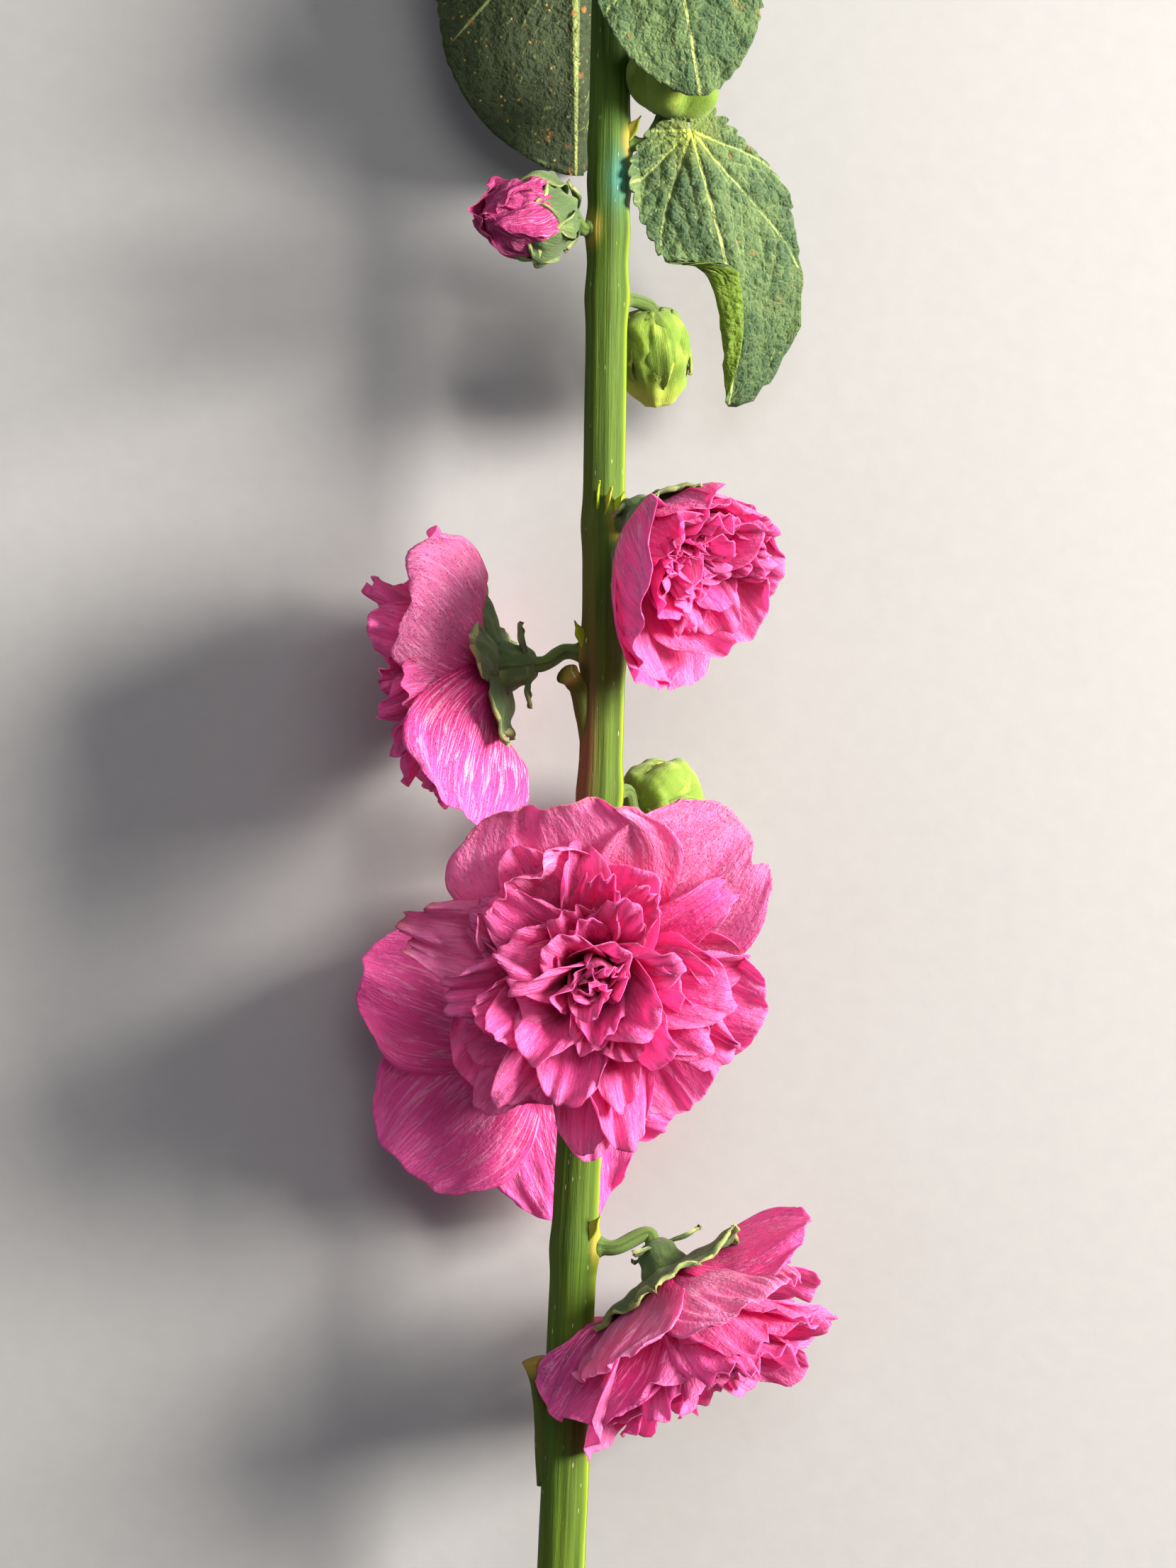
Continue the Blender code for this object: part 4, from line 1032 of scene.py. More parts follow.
@dataclass(frozen=True)
class CalyxFinish:
    """Downy green of cups, sepals, bracts and buds, yellow towards the tips."""

    body: Triple = (0.070, 0.120, 0.038)
    tip: Triple = (0.40, 0.43, 0.15)
    inside: Triple = (0.20, 0.29, 0.075)
    stalk: Triple = (0.09, 0.15, 0.025)
    dark: Triple = (0.016, 0.032, 0.012)
    brown: Triple = (0.20, 0.10, 0.035)
    browning: float = 0.5

    def material(self, name: str) -> bpy.types.Material:
        """Make the material.

        Args:
            name: Its name.

        Returns:
            The material.
        """
        graph = Graph(name)
        grain, place, tint = graph.marks()
        t, s, _ = graph.parts(place)
        stalk, dry, _ = graph.parts(tint)
        _, _, number = graph.parts(grain)
        lines = graph.noise(graph.vector(t * 9, s * 1.2, number), 2.0, 3.0, 0.6)
        down = graph.noise(graph.stretched(grain, 3.0, 1.6), 1.0, 4.0, 0.7)
        patch = graph.noise(graph.stretched(grain, 0.16, 0.12), 1.0, 3.0, 0.6)
        specks = graph.pits(graph.stretched(grain, 0.34, 0.30), 1.0)

        edge = (s + t.size() ** 3.0 * 0.35).span(0.72, 1.15)
        colour = graph.blend(self.body, self.tip, edge)
        colour = graph.blend(colour, self.dark, lines.span(0.55, 0.75) * 0.45)
        colour = graph.blend(colour, self.inside, patch.span(0.48, 0.70) * 0.6)
        colour = graph.blend(colour, self.tip, down.span(0.5, 0.8) * 0.28)
        colour = graph.blend(colour, self.stalk, stalk)
        spots = (1 - specks.span(0.06, 0.16)) * patch.span(0.45, 0.6) * self.browning
        colour = graph.blend(colour, self.brown, spots)
        colour = graph.blend(colour, self.brown, s.span(0.86, 1.0) * dry)

        normal = graph.bump(lines, 0.35)
        normal = graph.bump(down, 0.22, normal)
        surface = graph.skin(
            {
                "Base Color": colour,
                "Roughness": 0.62 + down * 0.2,
                "Specular IOR Level": 0.25,
                "Sheen Weight": 0.2,
                "Sheen Roughness": 0.5,
                "Sheen Tint": (0.85, 0.92, 0.70, 1.0),
                "Normal": normal,
            }
        )
        return graph.finish(surface, (0.30, 0.45, 0.06), 0.12)


@dataclass(frozen=True)
class StemFinish:
    """Ridged green stem with pale flecks, a brown flush and amber at its joints, painted light on the side
    towards the key lamp and painted shade elsewhere.
    """

    # low and high: lit yellow-green of the lower and upper stem, painted light on the side towards the key
    # lamp; high also streaks the rest. shade: the stem's dark green with painted shade, for the side away
    # from the lamp.
    low: Triple = (0.260, 0.360, 0.012)
    high: Triple = (0.060, 0.130, 0.012)
    shade: Triple = (0.014, 0.034, 0.006)
    flush: Triple = (0.15, 0.075, 0.030)
    teal: Triple = (0.040, 0.170, 0.120)
    amber: Triple = (0.46, 0.30, 0.050)
    fleck: Triple = (0.56, 0.60, 0.33)
    pith: Triple = (0.66, 0.70, 0.42)

    def material(self, name: str) -> bpy.types.Material:
        """Make the stem's material.

        Args:
            name: Its name.

        Returns:
            The material.
        """
        graph = Graph(name)
        grain, place, tint = graph.marks()
        turn, v, joint = graph.parts(place)
        cut, flush, teal = graph.parts(tint)
        ridges = graph.noise(graph.stretched(grain, 0.85, 0.035), 1.0, 3.0, 0.6)
        streaks = graph.noise(graph.stretched(grain, 0.30, 0.020), 1.0, 3.0, 0.6)
        blotch = graph.noise(graph.stretched(grain, 0.10, 0.030), 1.0, 2.0)
        cells = graph.pits(graph.stretched(grain, 0.42, 0.16), 1.0)
        where = graph.noise(graph.stretched(grain, 0.12, 0.04), 1.0, 1.0)
        flecks = (1 - cells.span(0.05, 0.13)) * where.span(0.42, 0.60)

        # Painted light: the side that faces the key lamp, about +X, takes the lit yellow-green of bright,
        # brighter low on the stem; the rest keeps the painted shade.
        painted_lit_side = (1 - turn.span(0.0, 0.12)) + turn.span(0.88, 1.0)
        colour = graph.blend(self.shade, self.high, streaks.span(0.30, 0.65) * 0.6)
        bright = graph.blend(self.low, self.high, v.span(60.0, 200.0) * 0.7)
        painted_light_share = (painted_lit_side * 0.85 + blotch * 0.25) * (1 - streaks.span(0.5, 0.9) * 0.4)
        colour = graph.blend(colour, bright, painted_light_share)
        colour = graph.blend(colour, self.flush, flush * streaks.span(0.25, 0.6))
        colour = graph.blend(colour, self.teal, teal)
        colour = graph.blend(colour, self.amber, joint.span(0.35, 1.0) * blotch.span(0.30, 0.65) * 0.8)
        colour = graph.blend(colour, self.fleck, flecks * 0.85)
        colour = graph.blend(colour, self.pith, cut)

        normal = graph.bump(ridges, 0.30)
        normal = graph.bump(flecks, 0.12, normal)
        fine = graph.noise(graph.stretched(grain, 2.6, 0.9), 1.0, 3.0, 0.6)
        normal = graph.bump(fine, 0.08, normal)
        surface = graph.skin(
            {
                "Base Color": colour,
                "Roughness": 0.52 + ridges * 0.2 + cut * 0.2,
                "Specular IOR Level": 0.14,
                "Normal": normal,
            }
        )
        return graph.finish(surface)


@dataclass(frozen=True)
class LeafFinish:
    """Grey-green rugose leaf, with pale main veins, a paler back and rusty specks."""

    top: Triple = (0.036, 0.078, 0.034)
    bright: Triple = (0.088, 0.146, 0.054)
    vein: Triple = (0.36, 0.44, 0.14)
    back: Triple = (0.110, 0.190, 0.012)
    foot: Triple = (0.46, 0.52, 0.05)
    rust: Triple = (0.33, 0.15, 0.035)
    yellow: Triple = (0.55, 0.50, 0.10)
    rusty: float = 0.35
    rib: float = 0.45
    glow: Triple = (0.34, 0.48, 0.03)

    def material(self, name: str) -> bpy.types.Material:
        """Make the leaf's material.

        Args:
            name: Its name.

        Returns:
            The material.
        """
        graph = Graph(name)
        grain, place, tint = graph.marks()
        main, side, upper = graph.parts(place)
        petiole, _, _ = graph.parts(tint)
        x, y, _ = graph.parts(grain)
        reach = (x * x + y * y) ** 0.5
        net = graph.pits(graph.stretched(grain, 0.36, 0.36), 1.0, "DISTANCE_TO_EDGE")
        mesh_net = graph.pits(graph.stretched(grain, 0.95, 0.95), 1.0, "DISTANCE_TO_EDGE")
        patch = graph.noise(graph.stretched(grain, 0.07, 0.07), 1.0, 3.0, 0.6)
        fuzz = graph.noise(graph.stretched(grain, 2.2, 2.2), 1.0, 4.0, 0.7)
        spots = graph.pits(graph.stretched(grain, 0.16, 0.16), 1.0)
        dots = graph.pits(graph.stretched(grain, 0.42, 0.42), 1.0)

        thread = 1 - net.span(0.0, 0.075)
        hair = 1 - mesh_net.span(0.0, 0.10)
        broad = (1 - main.span(0.18, 0.50)) * 0.75
        slim = x.size() + y.span(8.0, 78.0) * (self.rib * 0.75)
        middle = (1 - slim.span(self.rib * 0.85, self.rib * 1.2)) * y.span(-1.0, 0.5)
        branch = 1 - side.span(0.08, 0.34)
        colour = graph.blend(self.top, self.bright, patch.span(0.38, 0.62))
        colour = graph.blend(colour, self.back, 1 - upper)
        colour = graph.blend(colour, self.bright, fuzz.span(0.5, 0.8) * 0.35)
        colour = graph.blend(colour, self.vein, (thread * 0.20 + hair * 0.08) * (1.1 - self.rusty))
        colour = graph.blend(colour, self.vein, branch * 0.32)
        colour = graph.blend(colour, self.vein, broad)
        colour = graph.blend(colour, self.vein, middle * (0.85 - self.rusty * 0.4))
        colour = graph.blend(colour, self.foot, (1 - reach.span(1.0, 13.0)) * (0.2 + broad * 0.6))
        rust = (1 - spots.span(0.07, 0.20)) * patch.span(0.40, 0.60)
        rust = rust + (1 - dots.span(0.10, 0.22)) * self.rusty * 0.5
        colour = graph.blend(colour, self.rust, rust * self.rusty)
        colour = graph.blend(colour, self.yellow, (1 - dots.span(0.05, 0.12)) * (self.rusty * 0.8))
        colour = graph.blend(colour, self.foot, petiole * 0.6)

        relief = net.span(0.0, 0.45) * 0.7 + mesh_net.span(0.0, 0.40) * 0.3
        normal = graph.bump(relief, 0.55)
        normal = graph.bump(fuzz, 0.12, normal)
        surface = graph.skin(
            {
                "Base Color": colour,
                "Roughness": 0.55 + fuzz * 0.2,
                "Specular IOR Level": 0.2,
                "Sheen Weight": 0.05,
                "Normal": normal,
            }
        )
        return graph.finish(surface, self.glow, 0.16)


# Blooms, buds, leaves and the stem. Outlines give a radius and a height on the axis.

CUP_FOOT, CUP_FLOOR, CUP_RIM = (2.1, -3.8), (5.0, -0.2), (6.4, 3.8)
COLLAR_FOOT, COLLAR_RIM = (1.6, -4.6), (4.2, -3.0)
STALK_RADIUS, STALK_SIDES, STALK_ROOT = 1.9, 16, 1.2
TOUCH_GAP = 0.35
SEPALS, SEPALS_START, BRACTS_START = 5, 18.0, 54.0
SEPAL_GRID, BRACT_GRID, BUD_SEPAL_GRID, BUD_BRACT_GRID = (22, 18), (16, 8), (24, 18), (18, 10)
GUARD_CLAW, GUARD_FOOT = 0.42, 5.0
SEED_STEP, GUARD_SEEDS = 50, 400
NEAR_TURN = 32.0


def stalk_path(stalk_at: tuple, base: Array, facing: Triple, foot: float, count: int) -> Array:
    """Bend a stalk from the stem into a bloom's own axis.

    Args:
        stalk_at: Where on the stem it starts: how far up, and how far round.
        base: Where the bloom stands.
        facing: Its axis.
        foot: The height on that axis at which the stalk ends.
        count: Points on the path.

    Returns:
        The path, which starts just under the stem's skin.
    """
    start = stem_surface(*stalk_at)
    away = unit(start - stem_centre(start[1]))
    axis = unit(facing)
    end = np.array(base) + axis * foot
    span = np.linalg.norm(end - start)
    first = start + away * TOUCH_GAP
    points = [first, first + away * span * 0.3, end - axis * span * 0.3, end]
    path = smooth_path(points, count)
    return np.vstack([stem_surface(*stalk_at, sink=STALK_ROOT), path])


@dataclass
class Bloom:
    """A flower on its stalk: where its cup stands, where it faces, and its petals."""

    name: str
    stalk_at: tuple
    base: Triple
    facing: Triple
    guards: list[Petal]
    rings: tuple[int, ...]
    seed: int
    extras: tuple[int, ...] = ()
    spread: float = 1.0
    sepal_length: float = 19.0
    sepal_lean: float = 76.0
    sepal_flare: float = 108.0
    sepal_width: float = 8.4
    sepal_opening: float = 0.8
    hug: float = 0.7
    bracts: int = 3
    bract_lean: float = 0.0
    bract_flare: float = -6.0
    fullness: float = 1.0
    longer_at: float = 0.0
    longer_by: float = 0.0
    core_radius: float = 6.4
    core_height: float = 11.5
    size: float = 1.0
    slot: str = "petals"
    guard_grid: tuple[int, int] = (30, 50)
    ruffle_grid: tuple[int, int] = (22, 21)
    petal_thick: float = 0.34

    @property
    def axes(self) -> Array:
        """The bloom's own frame."""
        return axes_of(self.facing)

    def ruffles(self) -> list[Petal]:
        """Draw the crowded inner petals, ring by ring, each lying half over its neighbour.

        Returns:
            The ruffles, rounded fans that stand more upright the nearer they are to the middle.
        """
        draw = random.Random(self.seed)
        size = self.size * self.fullness
        rings = [RINGS[k] for k in self.rings] + [EXTRA_RINGS[k] for k in self.extras]
        made = []
        for number, ring in enumerate(sorted(rings, key=lambda ring: ring.flare)):
            start = number * GOLDEN_ANGLE + draw.uniform(0, 40)
            hand = draw.choice((-1, 1))
            for index in range(ring.count):
                turn = start + index * 360 / ring.count + draw.uniform(-14, 14)
                longer = 1 + self.longer_by * math.cos(math.radians(turn - self.longer_at))
                made.append(
                    Petal(
                        turn=turn, length=ring.length * size * longer * draw.uniform(0.84, 1.1),
                        half_width=ring.half_width * size * draw.uniform(0.62, 1.08),
                        lean=ring.lean * self.spread,
                        flare=ring.flare * self.spread + draw.uniform(-11, 11),
                        foot_radius=ring.foot_radius * self.size,
                        foot_height=ring.foot_height * self.size, opening=1.0, claw=0.3, taper=0.0,
                        corner=draw.uniform(0.28, 0.46), rounding=draw.uniform(0.0, 0.15),
                        cup=draw.uniform(6, 54), ruffle=draw.uniform(1.0, 2.5) * self.size,
                        waves=draw.uniform(0.9, 2.0), phase=draw.random(), curl=draw.uniform(-24, 46),
                        lip=draw.uniform(-70, 10), roll=hand * draw.uniform(8, 26),
                        twist=draw.uniform(-12, 12), wrapped=0.5,
                        frill=draw.uniform(0.5, 1.5) * self.size, frills=draw.uniform(2.8, 6.0),
                        crumple=draw.uniform(0.3, 0.9) * self.size,
                        bump_size=draw.uniform(5.0, 9.0) * self.size, pleat=draw.uniform(0.1, 0.4),
                        crease=draw.uniform(0.0, 0.8) * self.size, ragged=draw.uniform(0.01, 0.04),
                        pale=draw.uniform(0.0, 0.35), seed=self.seed * SEED_STEP + len(made),
                    )
                )
        return made

    def behind(self, sepal: Petal) -> tuple[float, float]:
        """Lay a sepal against the backs of the guards that it carries.

        Args:
            sepal: The sepal.

        Returns:
            Its lean and its flare, half its own and half the guards'.
        """
        apart = [(guard.turn - sepal.turn + 180) % 360 - 180 for guard in self.guards]
        near = bell(np.array(apart), NEAR_TURN) + 1e-3
        lean = np.average([guard.lean for guard in self.guards], weights=near)
        flare = np.average([guard.flare for guard in self.guards], weights=near)
        hug = self.hug
        return sepal.lean * (1 - hug) + (lean + 9) * hug, sepal.flare * (1 - hug) + (flare + 7) * hug

    def build_petals(self, finish: bpy.types.Material) -> bpy.types.Object:
        """Make the guard petals and the ruffles within.

        Args:
            finish: The material they wear.

        Returns:
            The piece.
        """
        skin = Skin(self.name + ".petals")
        axes, base = self.axes, np.array(self.base)
        wide, high, size = self.core_radius, self.core_height, self.size
        profile = [
            (CUP_FOOT[0] - 0.4, CUP_FOOT[1] + 0.9),
            (CUP_FLOOR[0] - 1.1, CUP_FLOOR[1] + 0.5),
            (CUP_RIM[0] - 1.3, CUP_RIM[1]),
            (wide * 0.9, CUP_RIM[1] + 0.5 * (high - CUP_RIM[1])),
            (wide * 0.45, high),
        ]
        radii, heights = np.array(profile).T * size
        path = base + heights[:, None] * axes[:, 2]
        grain, place = tube_grain(path, wide * size, 24, 3.0)
        place[..., 1] *= 0.15
        skin.add_rings(tube_rings(path, radii, 24), grain, place, (0.0, 0.0, 0.0))
        for number, petal in enumerate(self.guards):
            petal.seed = petal.seed or self.seed * SEED_STEP + GUARD_SEEDS + number
            petal.claw, petal.foot_radius = max(petal.claw, GUARD_CLAW), GUARD_FOOT * size
            petal.grow(skin, base, axes, self.guard_grid, self.petal_thick)
        for petal in self.ruffles():
            petal.grow(skin, base, axes, self.ruffle_grid, self.petal_thick)
        return skin.build(finish)

    def build_calyx(self, finish: bpy.types.Material) -> bpy.types.Object:
        """Make the stalk, the cup with its sepals and the collar of bracts.

        Args:
            finish: The material they wear.

        Returns:
            The piece.
        """
        skin = Skin(self.name + ".calyx")
        axes, base, size = self.axes, np.array(self.base), self.size
        sepal = Petal(
            turn=0.0, length=self.sepal_length, half_width=self.sepal_width * size * 1.08,
            lean=self.sepal_lean, flare=self.sepal_flare, foot_radius=CUP_RIM[0] * size - 0.6,
            foot_height=CUP_RIM[1] * size - 0.6, opening=self.sepal_opening, claw=0.80, taper=0.15,
            corner=0.3, rounding=0.72, point=0.3, cup=26.0, ruffle=0.7, waves=1.6, frill=0.8,
            frills=3.0, ragged=0.01, crumple=1.8, bump_size=4.5, crease=0.6, ribs=0.35, roll=0.0,
        )
        bract = replace(
            sepal,
            length=self.sepal_length * 0.5, half_width=2.3 * size, claw=0.6, taper=0.5, corner=0.1,
            crumple=0.5, lean=self.sepal_lean + self.bract_lean,
            flare=self.sepal_flare + self.bract_flare, foot_radius=COLLAR_RIM[0] * size - 0.4,
            foot_height=COLLAR_RIM[1] * size, point=0.95, cup=12.0, ruffle=0.3, crease=0.3, ribs=0.15,
            dry=0.8,
        )
        cup = [CUP_FOOT, (CUP_FOOT[0] + 2.6, -2.6), CUP_FLOOR, (6.0, 1.8), CUP_RIM]
        inner = [(CUP_RIM[0] - 0.7, CUP_RIM[1]), (5.4, 2.0), (4.3, 0.4), (1.8, -2.4)]
        self._bowl(skin, smooth_path(np.array([(r, 0, h) for r, h in cup + inner]) * size, 26))
        collar = [COLLAR_FOOT, (3.0, -4.4), COLLAR_RIM, (4.1, -2.6), (1.8, -3.6)]
        self._bowl(skin, smooth_path(np.array([(r, 0, h) for r, h in collar]) * size, 14))
        for lobe in lobes_of(sepal, SEPALS, SEPALS_START, self.seed):
            lobe.lean, lobe.flare = self.behind(lobe)
            lobe.grow(skin, base, axes, SEPAL_GRID, 0.7)
        for lobe in lobes_of(bract, self.bracts, BRACTS_START, self.seed + 1, 10.0):
            lobe.grow(skin, base, axes, BRACT_GRID, 0.4)
        path = stalk_path(self.stalk_at, base, self.facing, CUP_FOOT[1] * size + 0.8, 22)
        add_stalk(skin, path, STALK_RADIUS * size**0.5, self.seed)
        return skin.build(finish)

    def _bowl(self, skin: Skin, profile: Array) -> None:
        """Turn a wall round the bloom's axis.

        Args:
            skin: The piece it joins.
            profile: The wall's outline: radius, nothing, height.
        """
        sides = 40
        turn = np.linspace(0, TURN, sides, endpoint=False)
        ribbed = 1 + 0.035 * np.cos(SEPALS * (turn - math.radians(SEPALS_START)))
        rings = turned(profile[:, :1] * ribbed, profile[:, 2:], turn)
        grain, place = tube_grain(profile, 6.0, sides, 5.0)
        place[..., 1] = np.clip(place[..., 1] * 1.2, 0, 0.6)
        placed = rested(rings @ self.axes.T + np.array(self.base), TUBE_PRESS)
        skin.add_rings(placed, grain, place, (0.0, 0.0, 0.0))


def add_stalk(skin: Skin, path: Array, radius: float, seed: int) -> None:
    """Add a stalk that widens at both of its ends.

    Args:
        skin: The piece.
        path: The stalk's middle line.
        radius: Its radius.
        seed: The seed of its bumps.
    """
    sides = STALK_SIDES
    share = np.linspace(0, 1, len(path))
    radii = radius * (1 + 0.45 * bell(share, 0.10) + 0.25 * bell(1 - share, 0.08))
    turn = np.linspace(0, TURN, sides, endpoint=False)
    bumps = Crumple(seed).layered(np.cos(turn)[None] * 1.5 + 8, share[:, None] * 6, 2)
    radii = radii[:, None] * (1 + 0.06 * bumps)
    grain, place = tube_grain(path, radius, sides, 7.0 + seed % 11)
    rings = rested(tube_rings(path, radii, sides), TUBE_PRESS)
    skin.add_rings(rings, grain, place, (1.0, 0.0, 0.0))


@dataclass
class Bud:
    """A closed green bud on its stalk."""

    name: str
    stalk_at: tuple | None
    base: Triple
    facing: Triple
    radius: float
    height: float
    bracts: int
    seed: int
    knobs: float = 0.6
    pink: float = 0.0

    def build(self, finish: bpy.types.Material) -> bpy.types.Object:
        """Make the bud: its body, the five sepals pressed round it, bracts and stalk.

        Args:
            finish: The material it wears.

        Returns:
            The piece.
        """
        skin = Skin(self.name + ".fine")
        axes, base = axes_of(self.facing), np.array(self.base)
        r, h = self.radius, self.height
        blunt = 0.14 * min(self.knobs, 1.0)
        outline = [(0.30, -0.08), (0.62 + blunt, -0.02), (0.86 + blunt * 0.5, 0.12), (0.99, 0.42)]
        outline += [(0.74 + blunt, 0.76), (0.2 + blunt * 2, 1.0)]
        outline = smooth_path(np.array([(x * r, 0, y * h) for x, y in outline]), 30)
        sides = 60
        turn = np.linspace(0, TURN, sides, endpoint=False)
        noise = Crumple(self.seed)
        share = np.clip(outline[:, 2:] / h, 0, 1)
        twist = turn + 0.5 * share
        ribs = 0.09 * np.cos(SEPALS * twist) - 0.07 * bell(np.cos(2.5 * twist), 0.16)
        lumps = 0.09 * self.knobs * noise.layered(np.cos(turn)[None] * 2.2 + 5, share * 5 + np.sin(turn), 3)
        radius = outline[:, :1] * (0.97 + ribs * np.sin(np.pi * np.clip(share + 0.1, 0, 1)) ** 0.5 + lumps)
        rings = turned(radius, outline[:, 2:], turn)
        grain, place = tube_grain(outline, r, sides, 5.0 + self.seed % 7)
        skin.add_rings(rested(rings @ axes.T + base, TUBE_PRESS), grain, place, (0.0, 0.0, self.pink))
        self._sepals(skin, axes, base)
        if self.stalk_at:
            path = stalk_path(self.stalk_at, base, self.facing, 0.5, 18)
            add_stalk(skin, path, STALK_RADIUS * 0.9, self.seed)
        return skin.build(finish)

    def _sepals(self, skin: Skin, axes: Array, base: Array) -> None:
        """Press overlapping sepals round the body, and the bracts outside them.

        Args:
            skin: The piece they join.
            axes: The bud's own frame.
            base: Where the bud stands.
        """
        r, h = self.radius, self.height
        draw = random.Random(self.seed + 3)
        for index in range(SEPALS):
            sepal = Petal(
                turn=36 + index * 360 / SEPALS, length=h * draw.uniform(1.05, 1.25),
                half_width=r * draw.uniform(0.58, 0.74), lean=88.0, flare=-52.0, foot_radius=r * 0.28,
                foot_height=-0.07 * h, opening=0.62, claw=0.55, taper=0.3, corner=0.4, rounding=0.4,
                point=0.2 if self.knobs > 1 else 0.5, cup=52.0, ruffle=0.0, frill=0.35, frills=3,
                crumple=1.0 * self.knobs, bump_size=4.5, ribs=0.25, roll=draw.uniform(-6, 6),
                twist=draw.uniform(6, 16), curl=draw.uniform(-4, 16), seed=self.seed * 10 + index,
            )
            sepal.grow(skin, base, axes, BUD_SEPAL_GRID, 0.55)
        if not self.bracts:
            return
        bract = Petal(
            turn=0.0, length=h * 0.8, half_width=r * 0.36, lean=60.0, flare=-12.0, foot_radius=r * 0.62,
            foot_height=-0.04 * h, opening=0.4, claw=0.9, taper=0.3, point=0.6, cup=20.0, ruffle=0.0,
            frill=0.4, crumple=0.4, ribs=0.15, roll=0.0, dry=0.3,
        )
        for lobe in lobes_of(bract, self.bracts, 75, self.seed):
            lobe.grow(skin, base, axes, BUD_BRACT_GRID, 0.6)


# How far a blade reaches at each angle from its midrib, as a share of its length.
HALF_REACH = {0: 1.0, 13: 0.82, 26: 0.64, 40: 0.47, 58: 0.38, 78: 0.33, 104: 0.25, 138: 0.19}
LEAF_REACH = [(-angle, reach) for angle, reach in reversed(HALF_REACH.items()) if angle]
LEAF_REACH += HALF_REACH.items()
RIGHT_LEAF_REACH = [
    (-170, 0.05), (-138, 0.07), (-122, 0.09), (-86, 0.175), (-68, 0.265), (-60, 0.295), (-43, 0.345),
    (-24, 0.42), (-18, 0.50), (-13, 0.65), (-9, 0.80), (0, 0.97), (11, 0.90), (16, 0.80), (29, 0.53),
    (48, 0.36), (58, 0.235), (72, 0.16), (100, 0.10), (138, 0.08), (170, 0.06),
]
FOLD_SOFTNESS = 5.0


